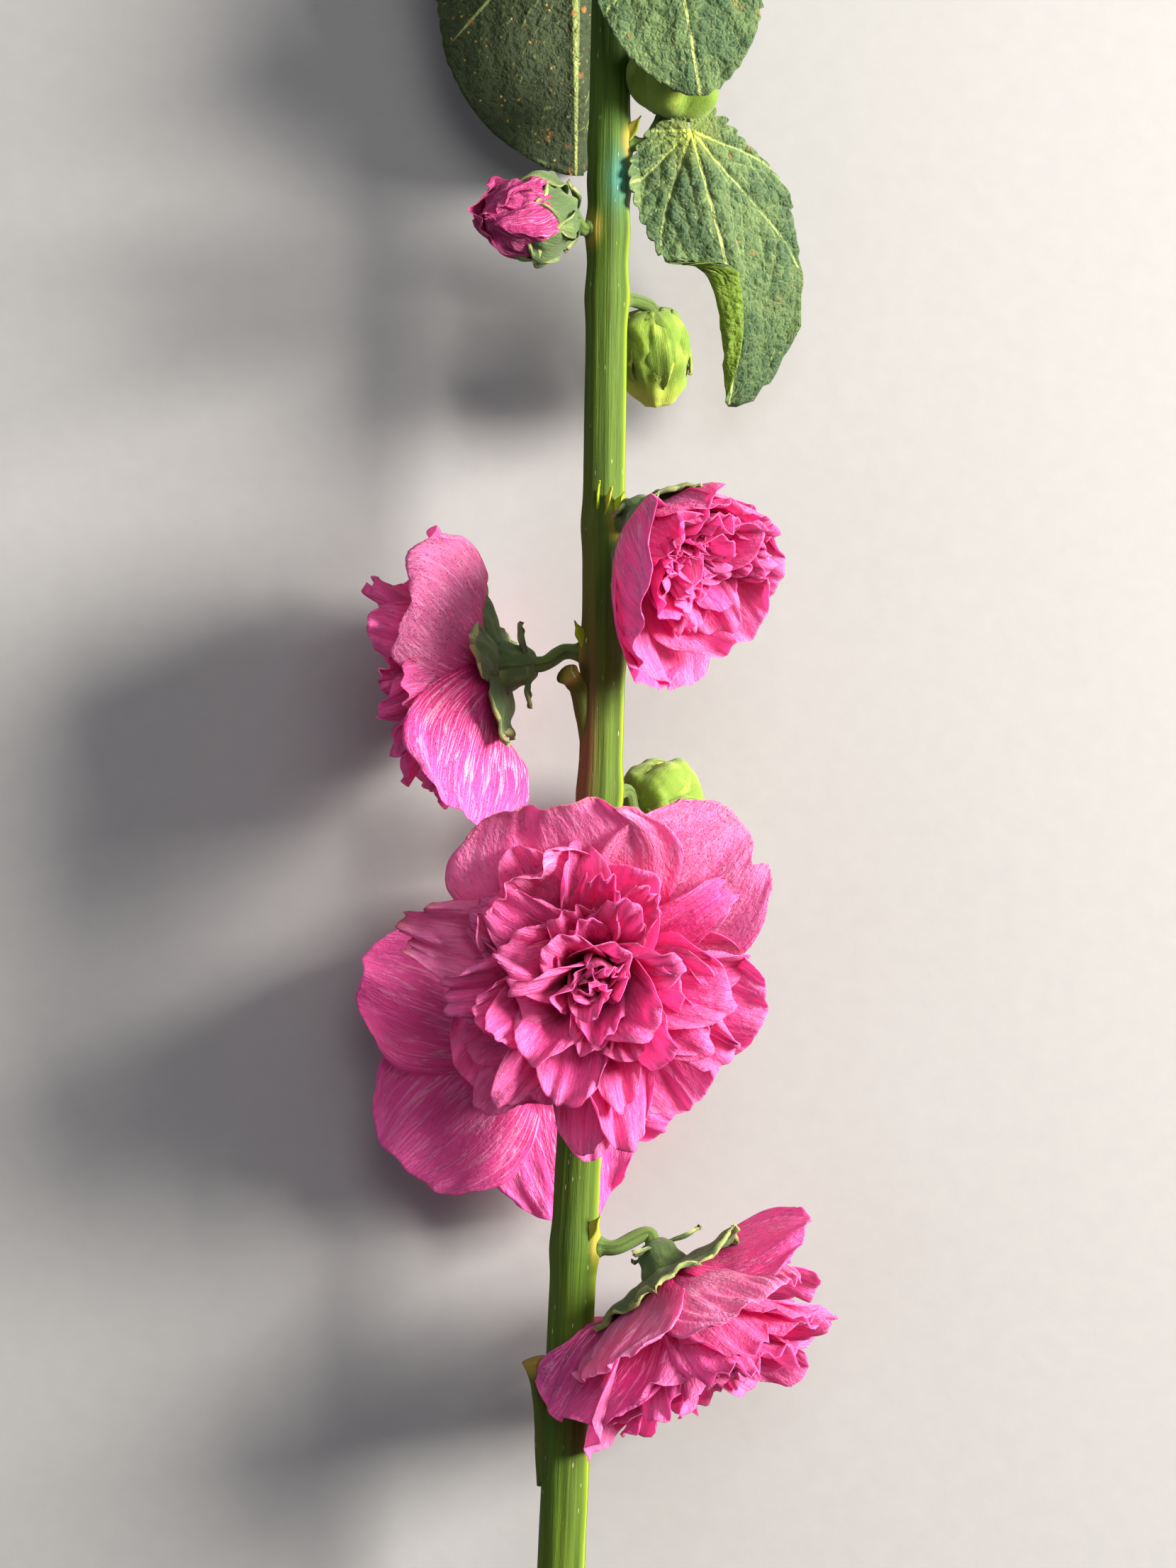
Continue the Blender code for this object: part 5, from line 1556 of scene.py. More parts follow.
@dataclass
class Leaf:
    """A lobed leaf blade with veins spread from its foot, on a petiole."""

    name: str
    stalk_at: tuple
    knee: Triple
    base: Triple
    along: Triple
    face: Triple
    length: float
    broad: float
    droop: tuple[float, float]
    fold: tuple[tuple[float, float], tuple[float, float]]
    wave: float
    seed: int
    reach: list[tuple[float, float]] = field(default_factory=lambda: LEAF_REACH)
    hem: tuple[tuple[float, float], ...] = ()
    hem_radius: float = 1.2
    sweep: float = 0.0
    rib: float = 0.9
    teeth: int = 46
    tooth: float = 0.024
    pucker: float = 0.75
    vein_angles: tuple[float, ...] = (0.0, 30.0, -30.0, 62.0, -62.0, 104.0, -104.0)
    grid: tuple[int, int] = (46, 190)
    thick: float = 0.5

    @property
    def ways(self) -> tuple[Array, Array]:
        """The way along the blade at its foot, and the way that its face looks."""
        along = unit(self.along)
        return along, unit(np.array(self.face) - (np.array(self.face) @ along) * along)

    def plan(self) -> tuple[Array, Array]:
        """Lay out the flat blade.

        Returns:
            Points from the foot outwards, and their share of the way to the edge.
        """
        rings, steps = self.grid
        angles = np.linspace(self.reach[0][0], self.reach[-1][0], steps + 1)
        inner = np.interp(angles, *zip(*self.reach))
        inner = np.convolve(np.pad(inner, 4, mode="edge"), np.ones(9) / 9, mode="valid")
        reach = inner
        noise = Crumple(self.seed)
        arc = np.cumsum(np.hypot(np.gradient(reach), reach * np.radians(np.gradient(angles))))
        saw = np.abs(((arc / arc[-1] * self.teeth) % 1.0) - 0.5) * 2
        uneven = 1 + 0.6 * noise.at(arc * 12, 0.4)
        reach = reach + self.tooth * (1 - saw**2.2 * 2) * 0.5 * uneven + 0.02 * noise.at(arc * 5, 2.2)
        share = np.linspace(0.002, 1.0, rings + 1) ** 0.8
        mix = late(share[:, None], 0.75)
        far = self.length * share[:, None] * (inner * (1 - mix) + reach * mix)
        turn = np.radians(angles)
        flat = np.stack([self.broad * far * np.sin(turn), far * np.cos(turn)], axis=-1)
        return flat, np.broadcast_to(share[:, None], far.shape)

    def veins(self) -> tuple[list[Array], list[Array]]:
        """Draw the veins on the flat blade.

        Returns:
            The main veins and the side veins, as lines of points.
        """
        draw = random.Random(self.seed + 40)
        mains, sides = [], []
        for angle in self.vein_angles:
            reach = np.interp(angle, *zip(*self.reach)) * self.length
            bow = draw.uniform(-5, 5) if angle else 0.0
            share = np.linspace(0.0, 0.97, 24)
            turn = np.radians(angle + bow * share * (1 - share) * 4)
            line = np.stack([self.broad * np.sin(turn), np.cos(turn)], axis=-1) * (share * reach)[:, None]
            mains.append(line)
            count = max(3, int(reach / 8))
            for index in range(count):
                for sign in (-1, 1):
                    at = 0.16 + 0.74 * (index + (0.5 if sign > 0 else 0.0)) / count
                    start = line[int(at * 23)]
                    ahead = unit(line[min(int(at * 23) + 2, 23)] - start)
                    lean = math.radians(sign * draw.uniform(38, 52))
                    way = ahead * math.cos(lean) + ahead[::-1] * (math.sin(lean), -math.sin(lean))
                    far = reach * (0.16 + 0.22 * (1 - at)) + 3
                    step = np.linspace(0, 1, 8)[:, None]
                    sides.append(start + way * far * step + ahead * far * 0.25 * step**2)
        return mains, sides

    @staticmethod
    def nearest(flat: Array, lines: list[Array]) -> Array:
        """Measure how far each place is from some lines.

        Args:
            flat: Places on the flat blade.
            lines: Lines of points.

        Returns:
            The distance to the nearest line, in millimetres.
        """
        best = np.full(flat.shape[:-1], 1e3)
        for line in lines:
            for a, b in zip(line, line[1:]):
                edge = b - a
                along = np.clip(((flat - a) @ edge) / max(edge @ edge, 1e-9), 0, 1)
                best = np.minimum(best, np.linalg.norm(flat - a - along[..., None] * edge, axis=-1))
        return best

    def hemmed(self, x: Array, y: Array, lift: Array) -> tuple[Array, Array]:
        """Turn the left margin up and over, onto the blade.

        Args:
            x: Places across the flat blade.
            y: The same places along it.
            lift: How far each is raised from it.

        Returns:
            Where the places lie across the blade then, and how far above it.
        """
        share = y / self.length
        bent = self.sweep * np.maximum(share - 0.42, 0) ** 2 / 0.34
        if not self.hem:
            return x + bent, lift
        r = self.hem_radius
        line_at = np.interp(share, *zip(*self.hem))
        over = -x - line_at
        angle = np.clip(over / r, 0, np.pi)
        turned = line_at + (r - lift) * np.sin(angle) - np.maximum(over - np.pi * r, 0)
        raised = r - (r - lift) * np.cos(angle)
        return np.where(over > 0, -turned, x) + bent, np.where(over > 0, raised, lift)

    def bent(self, flat: Array, lift: Array) -> Array:
        """Bend the flat blade along its midrib and fold its halves about it.

        Args:
            flat: Places on the flat blade.
            lift: How far each is raised from it.

        Returns:
            The points in the layout.
        """
        along, normal = self.ways
        sideways = np.cross(normal, along)
        x, lift = self.hemmed(flat[..., 0], flat[..., 1], lift)
        y = flat[..., 1]
        share = y / self.length
        steps = np.linspace(-0.6, 1.05, 84)
        angle = np.radians(self.droop[0] + (self.droop[1] - self.droop[0]) * np.clip(steps, 0, 1))
        forward = np.cumsum(np.cos(angle)) * (steps[1] - steps[0])
        down = np.cumsum(np.sin(angle)) * (steps[1] - steps[0])
        ahead = (np.interp(share, steps, forward) - np.interp(0.0, steps, forward)) * self.length
        drop = (np.interp(share, steps, down) - np.interp(0.0, steps, down)) * self.length
        left, right = self.fold
        later = smooth((share - 0.2) / 0.4)
        halves = [(1 - later) * low + later * high for low, high in (left, right)]
        fold = np.radians(np.where(x < 0, *halves)) * smooth(np.abs(x) / FOLD_SOFTNESS)
        draw = random.Random(self.seed)
        edge = (np.hypot(x, y) / self.length) ** 2
        wave = self.wave * edge * np.sin(np.arctan2(x, y) * 6 + draw.uniform(0, 6.28))
        side = x * np.cos(fold)
        rise = -np.abs(x) * np.sin(fold) - drop + wave
        tilt = np.sign(x) * np.sin(fold)
        return (
            np.array(self.base)
            + ahead[..., None] * along
            + (side + lift * tilt)[..., None] * sideways
            + (rise + lift * np.cos(fold))[..., None] * normal
        )

    def build(self, finish: bpy.types.Material) -> bpy.types.Object:
        """Make the blade and its petiole.

        Args:
            finish: The material they wear.

        Returns:
            The piece.
        """
        skin = Skin(self.name + ".fine")
        flat, share = self.plan()
        mains, sides = self.veins()
        main, side = self.nearest(flat, mains), self.nearest(flat, sides)
        noise = Crumple(self.seed + 7)
        grown = smooth(np.hypot(flat[..., 0], flat[..., 1]) / 9.0)
        sunk = -0.55 * bell(main, self.rib) - 0.30 * bell(side, 0.7)
        dome = self.pucker * (1 - bell(np.minimum(main, side), 2.4))
        lumps = 0.35 * noise.layered(flat[..., 0] / 3.2, flat[..., 1] / 3.2, 3)
        frill = 1.1 * share**6 * noise.layered(flat[..., 0] / 6.0 + 9, flat[..., 1] / 6.0, 2)
        points = self.bent(flat, (sunk + dome * 0.8 + lumps) * grown + frill)
        grain = np.concatenate([flat, np.full((*flat.shape[:-1], 1), 3.0 * self.seed)], axis=-1)
        place = np.stack([main, side, np.zeros_like(main)], axis=-1)
        points = rested(clear_of_stem(points), self.thick)
        skin.add_sheet(Sheet(points, grain, place), self.thick, (0.0, 0.0, 0.0))
        self._petiole(skin)
        return skin.build(finish)

    def _petiole(self, skin: Skin) -> None:
        """Add the petiole, from just under the stem's skin to the blade's foot.

        Args:
            skin: The piece it joins.
        """
        along, normal = self.ways
        sides = 14
        start = stem_surface(*self.stalk_at)
        away = unit(start - stem_centre(start[1]))
        foot = np.array(self.base)
        points = [start + away * 0.35, start + away * 3.0, self.knee, foot + along * 2.5 - normal * 0.5]
        path = smooth_path(points, 26)
        path = np.vstack([start - away * 1.2, path])
        share = np.linspace(0, 1, len(path))
        radii = 1.7 - 0.5 * share + 0.9 * bell(share, 0.08)
        grain, place = tube_grain(path, 1.5, sides, 2.0)
        place[..., :2] = 4.0
        grain[..., 1] += 30.0
        rings = rested(tube_rings(path, radii, sides), TUBE_PRESS)
        skin.add_rings(rings, grain, place, (1.0, 0.0, 0.0))


@dataclass
class Stem:
    """The stem with its swollen nodes, stumps of fallen leaves and pointed stipules."""

    joints: list[tuple[float, float]]
    name: str = "stem.fine"
    step: float = 1.3
    sides: int = 60
    cut_slope: float = 0.45
    flush_at: float = -5.0
    flush_spread: float = 50.0
    teal_at: float = 146.0
    teal_spread: float = 6.0
    stump_sides: int = 16
    stumps: tuple = (
        ((-10.6, -170.0, 39.5), (-11.0, -154.0, 39.5), (-11.6, -146.0, 39.6), (-13.4, -139.5, 39.8)),
        ((0.0, 10.0, 41.0), (-1.6, 20.0, 42.4), (-2.8, 24.0, 44.0), (-5.0, 26.6, 46.4)),
    )
    stipules: tuple = ((67, 84), (66, 62), (68.5, 104), (35, 150), (-108, 52), (157, 30))

    def build(self, finish: bpy.types.Material) -> bpy.types.Object:
        """Make the stem.

        Args:
            finish: The material it wears.

        Returns:
            The piece.
        """
        skin = Skin(self.name)
        self._shaft(skin)
        for number, points in enumerate(self.stumps):
            path = smooth_path(points, 20)
            share = np.linspace(0, 1, 20)
            radii = 1.9 + 0.6 * share + 0.5 * late(share, 0.9)
            sides = self.stump_sides
            turn = np.linspace(0, TURN, sides, endpoint=False)
            bumps = Crumple(60 + number).layered(np.cos(turn)[None] * 1.7, share[:, None] * 7, 2)
            grain, place = tube_grain(path, 2.2, sides, 4.0 + number)
            place[..., 1] = path[0][1] + place[..., 1]
            place[..., 2] = late(share[:, None], 0.6)
            rings = tube_rings(path, radii[:, None] * (1 + 0.1 * bumps), sides)
            skin.add_rings(rings, grain, place, (0, 0.3, 0))
        for number, (v, turn) in enumerate(self.stipules):
            foot = stem_surface(v, turn)
            away = unit(foot - stem_centre(v))
            axes = axes_of(unit(away * 0.55 + np.array((0.0, 0.85, 0.0))))
            stipule = Petal(
                turn=0.0, length=7.5, half_width=1.6, lean=0, flare=14, foot_radius=0.0,
                foot_height=-2.2, claw=0.8, taper=0.85, corner=0.0, point=0.9, cup=20, ruffle=0.0,
                frill=0.2, crumple=0.25, seed=80 + number,
            )
            sheet = stipule.surface(16, 8)
            sheet.points = sheet.points @ axes.T + foot
            sheet.place[...] = (0.0, v, 0.0)
            skin.add_sheet(sheet, 0.5, (0.0, 0.0, 0.0))
        return skin.build(finish)

    def _shaft(self, skin: Skin) -> None:
        """Add the shaft, with its cut face at the lower end.

        Args:
            skin: The piece it joins.
        """
        low, high = STEM_LINE[0][1], STEM_LINE[-1][1]
        v = np.arange(low, high, self.step)
        turn = -np.linspace(0, TURN, self.sides, endpoint=False)
        near = np.min([np.abs(v - at) for at, _ in self.joints], axis=0)
        plain = stem_radius(v) * (1 + NODE_SWELLING * bell(near, NODE_SPREAD))
        noise = Crumple(3)
        wander = 0.5 * noise.at(v / 60, 1.5)[:, None]
        ridges = 0.018 * np.cos(9 * (turn + wander)) + 0.010 * np.cos(17 * (turn - wander) + 1)
        lumps = 0.022 * noise.layered(np.cos(turn)[None] * 1.2 + 4, v[:, None] / 14 + np.sin(turn), 3)
        swell = np.zeros((len(v), self.sides))
        amber = np.zeros_like(swell)
        for at, round_it in self.joints:
            apart = np.abs((turn[None] - math.radians(round_it) + math.pi) % TURN - math.pi)
            swell += 0.10 * bell(apart, 0.55) * bell(v[:, None] - at, 4.5)
            amber = np.maximum(amber, bell(apart, 1.0) * bell(v[:, None] - at, 7))
        radius = plain[:, None] * (1 + ridges + lumps + swell)
        side_x, side_z = radius * np.cos(turn), radius * np.sin(turn)
        slant = self.cut_slope * side_x * np.clip(1 - (v[:, None] - low) / 14, 0, 1)
        centre = stem_centre(v)[:, None, :]
        rings = centre + np.stack([side_x, slant, side_z], axis=-1)
        cut = []
        for share in (0.12, 0.45, 0.72, 0.90, 0.985):
            ring = centre[0] + (rings[0] - centre[0]) * share
            ring[:, 1] += 0.5 * (1 - share) ** 0.5
            cut.append(ring)
        height, share = np.broadcast_arrays(v[:, None], -turn / TURN)
        round_it = np.abs(share - 0.5) * TURN * 5.4 * 2
        grain = np.stack([round_it, height, np.ones_like(height)], axis=-1)
        place = np.stack([share, height, np.clip(amber, 0, 1)], axis=-1)
        flush = bell(height - self.flush_at, self.flush_spread) * smooth(-np.cos(turn) * 1.4 + 0.1)
        teal = bell(height - self.teal_at, self.teal_spread) * bell(np.cos(turn) - 0.5, 0.5)
        skin.add_rings(rings, grain, place, np.stack([np.zeros_like(swell), flush, teal], axis=-1))
        cut_rings = np.array(cut)
        cut_rings[:, :, 1] -= 0.08
        shape = cut_rings.shape[:2]
        grain = np.concatenate([cut_rings[..., :1], cut_rings[..., 2:], np.ones((*shape, 1))], axis=-1)
        place = np.concatenate([np.zeros((*shape, 1)), np.full((*shape, 1), low), np.zeros((*shape, 1))], -1)
        rings = np.concatenate([cut_rings[::-1], cut_rings + (0, 0.3, 0)])
        grain, place = np.concatenate([grain[::-1], grain]), np.concatenate([place, place])
        skin.add_rings(rings, grain, place, (1.0, 0.0, 0.0))


# The plant's own blooms, buds and leaves, as the photograph shows them.


def half_open(*sizes: float, **ways: float) -> Petal:
    """A guard of the half-open bloom, broad at its foot."""
    return Petal(*sizes, opening=1, claw=0.6, **ways)


BLOOMS = [
    Bloom(
        name="front_bloom", stalk_at=(-40.0, 90.0), base=(1.5, -42.0, 56.0), facing=(-0.03, -0.2, 0.98),
        guards=[
            Petal(
                104, 43, 29, 66, 76, curl=-22, cup=10, ruffle=1.2, waves=1.4, phase=0.1, roll=-9,
                pale=0.9, dry=0.7, pleat=0.4,
            ),
            Petal(
                46, 47, 22, 68, 84, curl=22, cup=24, ruffle=1.8, waves=1.6, phase=0.6, roll=6, pale=1.0,
                dimples=1, dry=0.3, notch=0.08, notch_at=-0.5, corner=0.14, pleat=0.3,
            ),
            Petal(
                126, 36, 18, 58, 64, curl=-64, cup=16, ruffle=1.4, phase=0.4, pale=0.7, pleat=0.5,
                frill=1.4, dry=0.3,
            ),
            Petal(
                -14, 38, 18, 70, 94, curl=-24, cup=22, ruffle=2.0, waves=1.6, phase=0.3, pale=0.3,
                pleat=0.3,
            ),
            Petal(
                -52, 36, 17, 68, 94, curl=-30, cup=24, ruffle=2.0, waves=1.6, phase=0.8, pale=0.3,
                pleat=0.3,
            ),
            Petal(
                -92, 42, 9, 66, 88, curl=-10, cup=14, ruffle=1.0, waves=1.2, phase=0.2, pale=0.6,
                frill=0.4,
            ),
            Petal(-138, 36, 18, 68, 88, curl=-10, cup=18, ruffle=1.6, phase=0.5, pale=0.2, pleat=0.3),
            Petal(
                166, 44, 11, 66, 84, curl=20, cup=14, ruffle=2.4, phase=0.9, pale=1.0, dry=0.9, frill=2.0,
                ragged=0.14, pleat=0.8, crumple=1.6, bump_size=4.5,
            ),
        ],
        rings=(0, 1, 2, 3), extras=(0, 1, 2, 3, 6), seed=11, fullness=0.99, longer_at=-70.0,
        longer_by=0.11,
    ),
    Bloom(
        name="back_bloom", stalk_at=(-56.0, 250.0), base=(-12.0, -62.0, 26.5),
        facing=(-0.22, -0.10, -0.97),
        guards=[
            Petal(100, 36, 22, 66, 92, curl=10, cup=12, ruffle=1.8, phase=0.1),
            Petal(22, 42, 20, 66, 92, curl=10, cup=16, ruffle=2.6, phase=0.6),
            Petal(-42, 42, 23, 68, 88, curl=-8, cup=16, ruffle=2.2, phase=0.3),
            Petal(
                -104, 43, 20, 68, 92, curl=-8, cup=16, ruffle=1.8, phase=0.8, crumple=1.3, bump_size=6,
                pleat=0.5,
            ),
            Petal(
                -150, 40, 15, 64, 86, curl=12, cup=18, ruffle=2.4, phase=0.2, crumple=1.8, bump_size=5,
                pleat=0.8, ragged=0.08,
            ),
            Petal(
                168, 37, 15, 66, 94, curl=8, cup=12, ruffle=2.6, phase=0.9, crumple=1.8, bump_size=4.5,
                pleat=0.8, ragged=0.1, pale=0.5,
            ),
        ],
        rings=(1, 2), extras=(2,), seed=23, spread=1.1, sepal_length=16.0,
    ),
    Bloom(
        name="left_bloom", stalk_at=(32.0, 190.0), base=(-17.0, 28.5, 41.5),
        facing=(-0.97, -0.10, -0.20),
        guards=[
            Petal(
                42, 33.5, 19.5, 62, 80, curl=-34, cup=36, ruffle=1.2, waves=1.4, roll=-30, dimples=1,
                pale=0.9, pleat=0.4, crumple=1.5, bump_size=7, lip=60, crease=1.6,
            ),
            # This guard's pale below 0 paints shade on it.
            Petal(
                -54, 40, 21, 64, 98, curl=-10, cup=26, ruffle=1.4, waves=1.4, roll=36, dimples=1,
                pale=-0.6, pleat=0.3, crumple=1.4, bump_size=7,
            ),
            Petal(
                98, 35, 15, 62, 72, curl=-16, cup=16, ruffle=1.6, phase=0.3, notch=0.2, notch_at=-0.1,
                pale=0.3,
            ),
            Petal(-120, 36, 20, 50, 66, curl=-16, cup=22, ruffle=2.0, phase=0.8),
            Petal(168, 38, 22, 54, 76, curl=-10, cup=22, ruffle=2.0, phase=0.5),
            Petal(72, 36, 10, 26, 34, curl=6, cup=6, ruffle=0.8, phase=0.5, corner=0.3, taper=0.3, roll=30),
        ],
        rings=(0, 2), extras=(1, 2, 6), seed=37, fullness=0.92, spread=0.85, sepal_length=17.0,
        sepal_width=6.8, sepal_lean=80.0, sepal_flare=108.0,
    ),
    Bloom(
        name="right_bloom", stalk_at=(63.0, 40.0), base=(12.6, 63.5, 54.0), facing=(0.56, -0.52, 0.645),
        guards=[
            # This guard's pale below 0 paints shade on it.
            half_open(
                206, 40, 26, 68, -6, cup=46, ruffle=0.9, waves=1.4, phase=0.1, roll=-4, lip=-40,
                pale=-0.7,
            ),
            half_open(246, 39, 19, 66, 16, cup=38, ruffle=1.2, waves=1.4, phase=0.4, roll=-6),
            half_open(276, 36, 18, 60, 30, cup=34, ruffle=1.6, phase=0.5, pale=0.4, pleat=0.3, roll=-6),
            half_open(318, 34, 18, 44, 8, cup=34, ruffle=1.6, phase=0.2, pale=0.4, pleat=0.3),
            half_open(356, 31, 18, 50, 6, cup=36, ruffle=1.4, phase=0.7, pale=0.5, pleat=0.5, lip=-60),
            half_open(36, 28, 16, 46, 10, cup=30, ruffle=1.8, phase=0.8, pleat=0.5, pale=0.6, lip=-60),
            half_open(80, 25, 16, 46, 10, cup=34, ruffle=1.8, phase=0.3, pleat=0.5, pale=0.4, lip=-70),
            half_open(140, 24.5, 18, 48, -6, cup=40, ruffle=1.4, phase=0.6, pleat=0.5, pale=0.3, lip=-60),
        ],
        rings=(1, 2), extras=(0, 1, 2, 6), seed=41, spread=0.46, fullness=0.82, core_radius=5.2,
        core_height=9.0, sepal_length=15.5, sepal_lean=58.0, sepal_flare=46.0,
    ),
    Bloom(
        name="lower_bloom", stalk_at=(-112.0, 8.0), base=(17.5, -115.0, 41.0),
        facing=(0.46, -0.84, 0.28),
        guards=[
            Petal(
                200, 33, 20, 66, 60, curl=4, cup=22, ruffle=1.2, waves=1.4, phase=0.1, pale=1.0,
                pleat=0.8, frill=1.2, crumple=0.9, roll=-8, lip=40,
            ),
            # This guard's pale below 0 paints shade on it.
            Petal(
                226, 40, 22, 58, 60, curl=4, cup=6, roll=-38, ruffle=1.6, waves=1.6, phase=0.7, pale=-0.5,
                frill=1.3, pleat=0.3,
            ),
            Petal(
                112, 32, 21, 58, 52, curl=6, cup=24, ruffle=1.2, waves=1.4, phase=0.6, pale=1.0,
                pleat=0.8, frill=1.2, crumple=0.9, lip=40,
            ),
            Petal(
                74, 33, 17, 76, 86, curl=-12, cup=24, ruffle=1.0, waves=1.2, phase=0.3, pale=0.1, roll=36,
            ),
            Petal(234, 45, 19, 56, 46, curl=-10, cup=26, ruffle=1.4, phase=0.8, pale=0.5, pleat=0.4),
            Petal(286, 42, 22, 58, 74, curl=-14, cup=22, ruffle=2.0, phase=0.5),
            Petal(14, 38, 21, 58, 70, curl=-10, cup=20, ruffle=2.0, phase=0.7, pleat=0.3),
            Petal(-30, 50, 18, 66, 112, curl=-10, cup=14, ruffle=1.8, phase=0.2),
        ],
        rings=(0, 1, 2, 3), extras=(1, 2, 6), seed=53, spread=0.68, fullness=1.08, sepal_length=16.0,
        sepal_width=10.2,
    ),
    Bloom(
        name="opening_bud", stalk_at=(134.0, 150.0), base=(-5.4, 136.0, 46.5),
        facing=(-0.70, -0.10, 0.70),
        guards=[
            Petal(
                turn, length, 11.5, 78, flare,
                cup=cup, ruffle=ruffle, phase=phase, crumple=1.5, bump_size=3.6, pleat=0.6,
            )
            for turn, length, flare, cup, ruffle, phase in (
                (34, 26.8, -62, 60, 0.7, 0.1),
                (-38, 25.8, -66, 60, 0.7, 0.6),
                (-110, 26.8, -58, 56, 0.8, 0.3),
                (178, 27.8, -56, 56, 0.8, 0.8),
                (106, 26.8, -62, 60, 0.7, 0.5),
            )
        ],
        rings=(), extras=(4, 5), seed=67, sepal_length=19.0, sepal_lean=88.0, sepal_flare=-46.0,
        sepal_width=12.0, hug=0.0, sepal_opening=0.6, bract_lean=6.0, bract_flare=50.0, size=0.72,
        core_radius=12.0, core_height=20.0, slot="bud_petals",
    ),
]

BUDS = [
    Bud("bud_behind_front_bloom", (-2, 318), (13, -6, 28), (0.62, 0.34, -0.66), 9.6, 18, 3, 71, 1.2),
    Bud("bud_below_leaf", (118, 322), (15.4, 114.6, 31), (0.10, -0.92, -0.38), 8.4, 22, 4, 73, 1.9, 1.0),
    Bud("bud_under_top_leaf", (155, 10), (18.6, 163.4, 40), (0.34, 0.90, 0.26), 11.6, 17.5, 0, 79, 0.2),
    Bud("upper_bud_left", (214, 170), (-3.5, 222, 41.5), (-0.62, 0.74, 0.26), 7.5, 15, 0, 83),
    Bud("upper_bud_right", (236, 20), (14, 243, 42), (0.58, 0.76, 0.28), 6, 12.5, 0, 89),
    Bud("tip_bud", None, (8.3, 263.7, 35.8), (0.08, 0.98, -0.16), 5.6, 13, 0, 97),
]

LEAVES = [
    Leaf(
        "leaf_right",
        stalk_at=(146, 330), knee=(15.5, 153, 37.0), base=(24.8, 157.5, 44.5),
        along=(0.26, -0.90, -0.30), face=(0.20, -0.24, 0.95), length=74, broad=1.0, droop=(-8, 18),
        fold=((10, 8), (14, 8)), wave=1.4, seed=5, reach=RIGHT_LEAF_REACH,
        hem=((0.34, 40.0), (0.39, 13.0), (0.43, 5.6), (0.48, 3.6), (0.6, 2.6), (0.8, 1.6), (1.0, 0.6)),
        sweep=-9.0, tooth=0.024, vein_angles=(0.0, 24.0, -30.0, 50.0, -64.0, -104.0),
    ),
    Leaf(
        "leaf_top_right",
        stalk_at=(228, 60), knee=(12, 226, 56), base=(17.5, 210, 63), along=(0.20, -0.97, -0.05),
        face=(0.10, -0.06, 0.99), length=50, broad=1.35, droop=(-8, 16), fold=((-8, 10), (-8, 10)),
        wave=1.5, seed=6,
    ),
    Leaf(
        "leaf_top_left",
        stalk_at=(224, 235), knee=(0, 226, 26), base=(-3, 217, 25), along=(0.0, -0.97, -0.20),
        face=(0.0, 0.20, -0.97), length=68.5, broad=1.6, droop=(-4, 6), fold=((-60, -70), (4, 10)),
        wave=1.6, seed=7, tooth=0.006, rib=2.2,
    ),
]


class LightName(Enum):
    """The lamps of the studio."""

    KEY = "key"
    FILL = "fill"
    TOP = "top"


@dataclass(frozen=True)
class Lamp:
    """A soft square lamp that looks at the plant."""

    name: LightName
    away: Triple
    side: float
    power: float
    colour: Triple


@dataclass(frozen=True)
class Studio:
    """The pale floor, the soft lamps and the camera straight above the plant."""

    look_at: Triple = (-0.0033, -0.0242, 0.040)
    frame_height: float = 0.380
    distance: float = 0.80
    floor_side: float = 6.0
    lamps: tuple[Lamp, ...] = (
        Lamp(LightName.KEY, (1.38, 0.36, 0.72), 0.60, 108.0, (1.0, 0.94, 0.87)),
        Lamp(LightName.FILL, (-0.9, -0.2, 0.9), 1.0, 3.0, (0.84, 0.84, 1.0)),
        Lamp(LightName.TOP, (0.25, 0.55, 1.2), 0.7, 6.5, (1.0, 0.98, 0.97)),
    )

    def build_camera(self) -> None:
        """Set the camera above the stem, its picture upright along the stem."""
        data = bpy.data.cameras.new("camera")
        data.sensor_width = 36.0
        data.lens = 36.0 * self.distance / self.frame_height
        data.clip_start = 0.01
        camera = bpy.data.objects.new("camera", data)
        x, y, z = self.look_at
        camera.location = (x, y, z + self.distance)
        bpy.context.scene.collection.objects.link(camera)
        bpy.context.scene.camera = camera

    def build_lamps(self) -> None:
        """Hang the lamps and set the faint light from all round."""
        for lamp in self.lamps:
            data = bpy.data.lights.new(lamp.name.value, "AREA")
            data.size, data.energy, data.color = lamp.side, lamp.power, lamp.colour
            light = bpy.data.objects.new(lamp.name.value, data)
            away = Vector(lamp.away)
            light.location = Vector(self.look_at) + away
            light.rotation_euler = away.to_track_quat("Z", "Y").to_euler()
            bpy.context.scene.collection.objects.link(light)
        world = bpy.data.worlds.new("room")
        world.use_nodes = True
        backdrop = world.node_tree.nodes["Background"]
        backdrop.inputs["Color"].default_value = (0.86, 0.89, 0.94, 1.0)
        backdrop.inputs["Strength"].default_value = 0.11
        bpy.context.scene.world = world

    def build_floor(self) -> None:
        """Lay the plain pale floor."""
        half = self.floor_side / 2
        mesh = bpy.data.meshes.new("floor")
        corners = [(-half, -half, 0), (half, -half, 0), (half, half, 0), (-half, half, 0)]
        mesh.from_pydata(corners, [], [(0, 1, 2, 3)])
        floor = bpy.data.objects.new("floor", mesh)
        bpy.context.scene.collection.objects.link(floor)
        graph = Graph("pale_floor")
        where = graph.node("ShaderNodeNewGeometry", {}, {}, "Position")
        grain = graph.noise(where, 180.0, 4.0, 0.6)
        colour = graph.blend((0.29, 0.29, 0.29), (0.325, 0.325, 0.32), grain)
        normal = graph.bump(grain, 0.05)
        values = {"Base Color": colour, "Roughness": 0.75 + grain * 0.1, "Normal": normal}
        mesh.materials.append(graph.finish(graph.skin(values)))

    def build(self) -> None:
        """Set up floor, lamps and camera."""
        self.build_floor()
        self.build_lamps()
        self.build_camera()
        bpy.context.scene.view_settings.view_transform = "Standard"


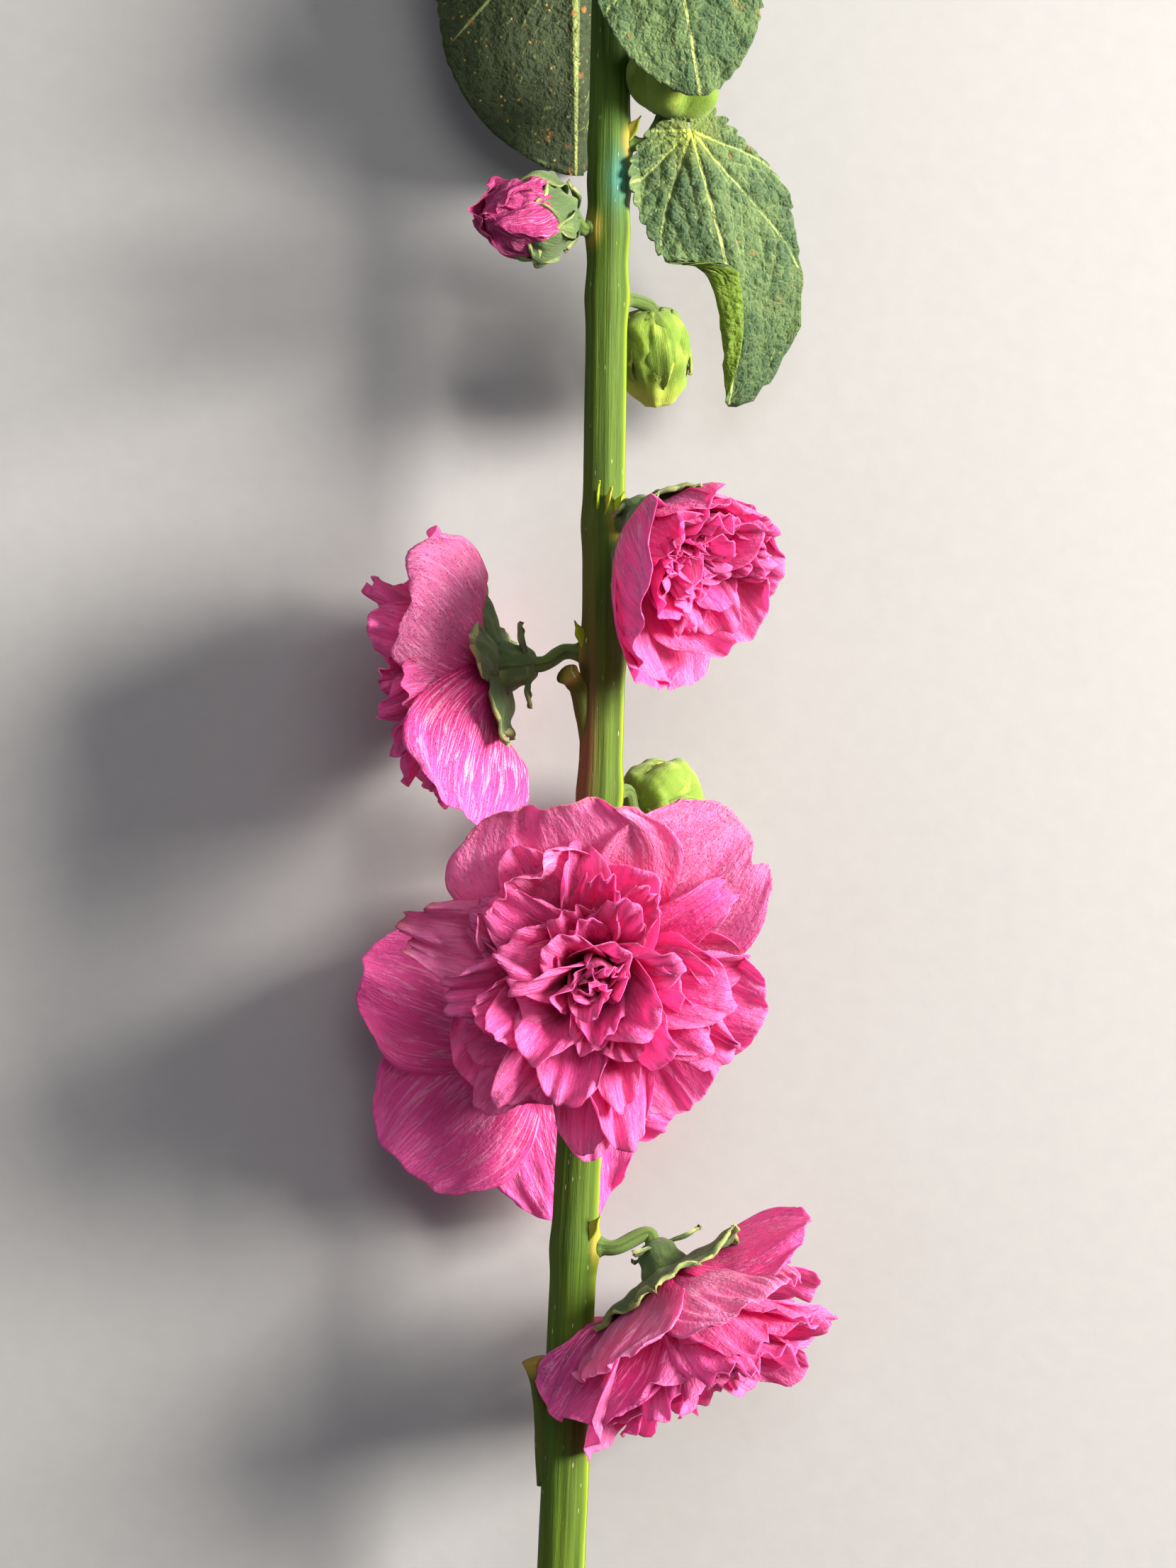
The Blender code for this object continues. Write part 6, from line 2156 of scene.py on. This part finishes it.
class Hollyhock:
    """The whole plant: it builds each piece and puts it in the place of its plain solid."""

    def __init__(self) -> None:
        """Mix the finishes."""
        self.finishes = {
            "petals": PetalFinish().material("petal_pink"),
            "bud_petals": PetalFinish(
                heart=(0.30, 0.010, 0.10), blade=(0.44, 0.024, 0.17), rim=(0.80, 0.15, 0.42),
                back=(0.66, 0.06, 0.28), glow=(0.55, 0.03, 0.18), wrinkle=0.45,
            ).material("bud_magenta"),
            "calyx": CalyxFinish().material("calyx_green"),
            "bud": CalyxFinish(
                body=(0.15, 0.25, 0.022), tip=(0.45, 0.52, 0.06), inside=(0.38, 0.48, 0.07),
                dark=(0.05, 0.09, 0.02),
            ).material("bud_green"),
            "stem": StemFinish().material("stem_green"),
            "leaf": LeafFinish().material("leaf_green"),
            # A darker copy of the leaf finish, with more rust specks and a wider pale midrib, for the top
            # left leaf.
            "dark_rusty_leaf": LeafFinish(
                top=(0.018, 0.034, 0.014), bright=(0.14, 0.15, 0.032), back=(0.026, 0.040, 0.016),
                rusty=0.9, rib=0.9,
            ).material("old_leaf_green"),
        }

    def place(self, piece: bpy.types.Object, node: str, slot: str) -> None:
        """Let a piece stand for a plain solid.

        Args:
            piece: The piece.
            node: The solid's name.
            slot: The slot of the record that the piece takes its finish from. Not used.
        """
        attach(piece, BODY)
        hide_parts(node)
        count = sum(len(face.vertices) - 2 for face in piece.data.polygons)
        near, far = (tuple(round(x / MM, 1) for x in piece.bound_box[corner]) for corner in (0, 6))
        log.info("%s stands for %s, %d triangles, from %s to %s", piece.name, node, count, near, far)

    def build(self) -> None:
        """Build every piece."""
        joints = [thing.stalk_at for thing in [*BLOOMS, *BUDS, *LEAVES] if thing.stalk_at]
        self.place(Stem(joints).build(self.finishes["stem"]), "stem", "stem")
        for bloom in BLOOMS:
            petals = bloom.build_petals(self.finishes[bloom.slot])
            self.place(petals, bloom.name + "_petals", bloom.slot)
            calyx = bloom.build_calyx(self.finishes["calyx"])
            self.place(calyx, bloom.name + "_calyx", "calyx")
        for bud in BUDS:
            self.place(bud.build(self.finishes["bud"]), bud.name, "bud")
        for leaf in LEAVES:
            dark_rusty = leaf.name == "leaf_top_left"
            piece = leaf.build(self.finishes["dark_rusty_leaf" if dark_rusty else "leaf"])
            self.place(piece, leaf.name, "leaf")


def main() -> None:
    """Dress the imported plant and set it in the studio."""
    logging.basicConfig(level=logging.INFO, format="%(name)s: %(message)s")
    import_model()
    Hollyhock().build()
    Studio().build()
    bpy.context.view_layer.update()


if __name__ == "__main__":
    main()
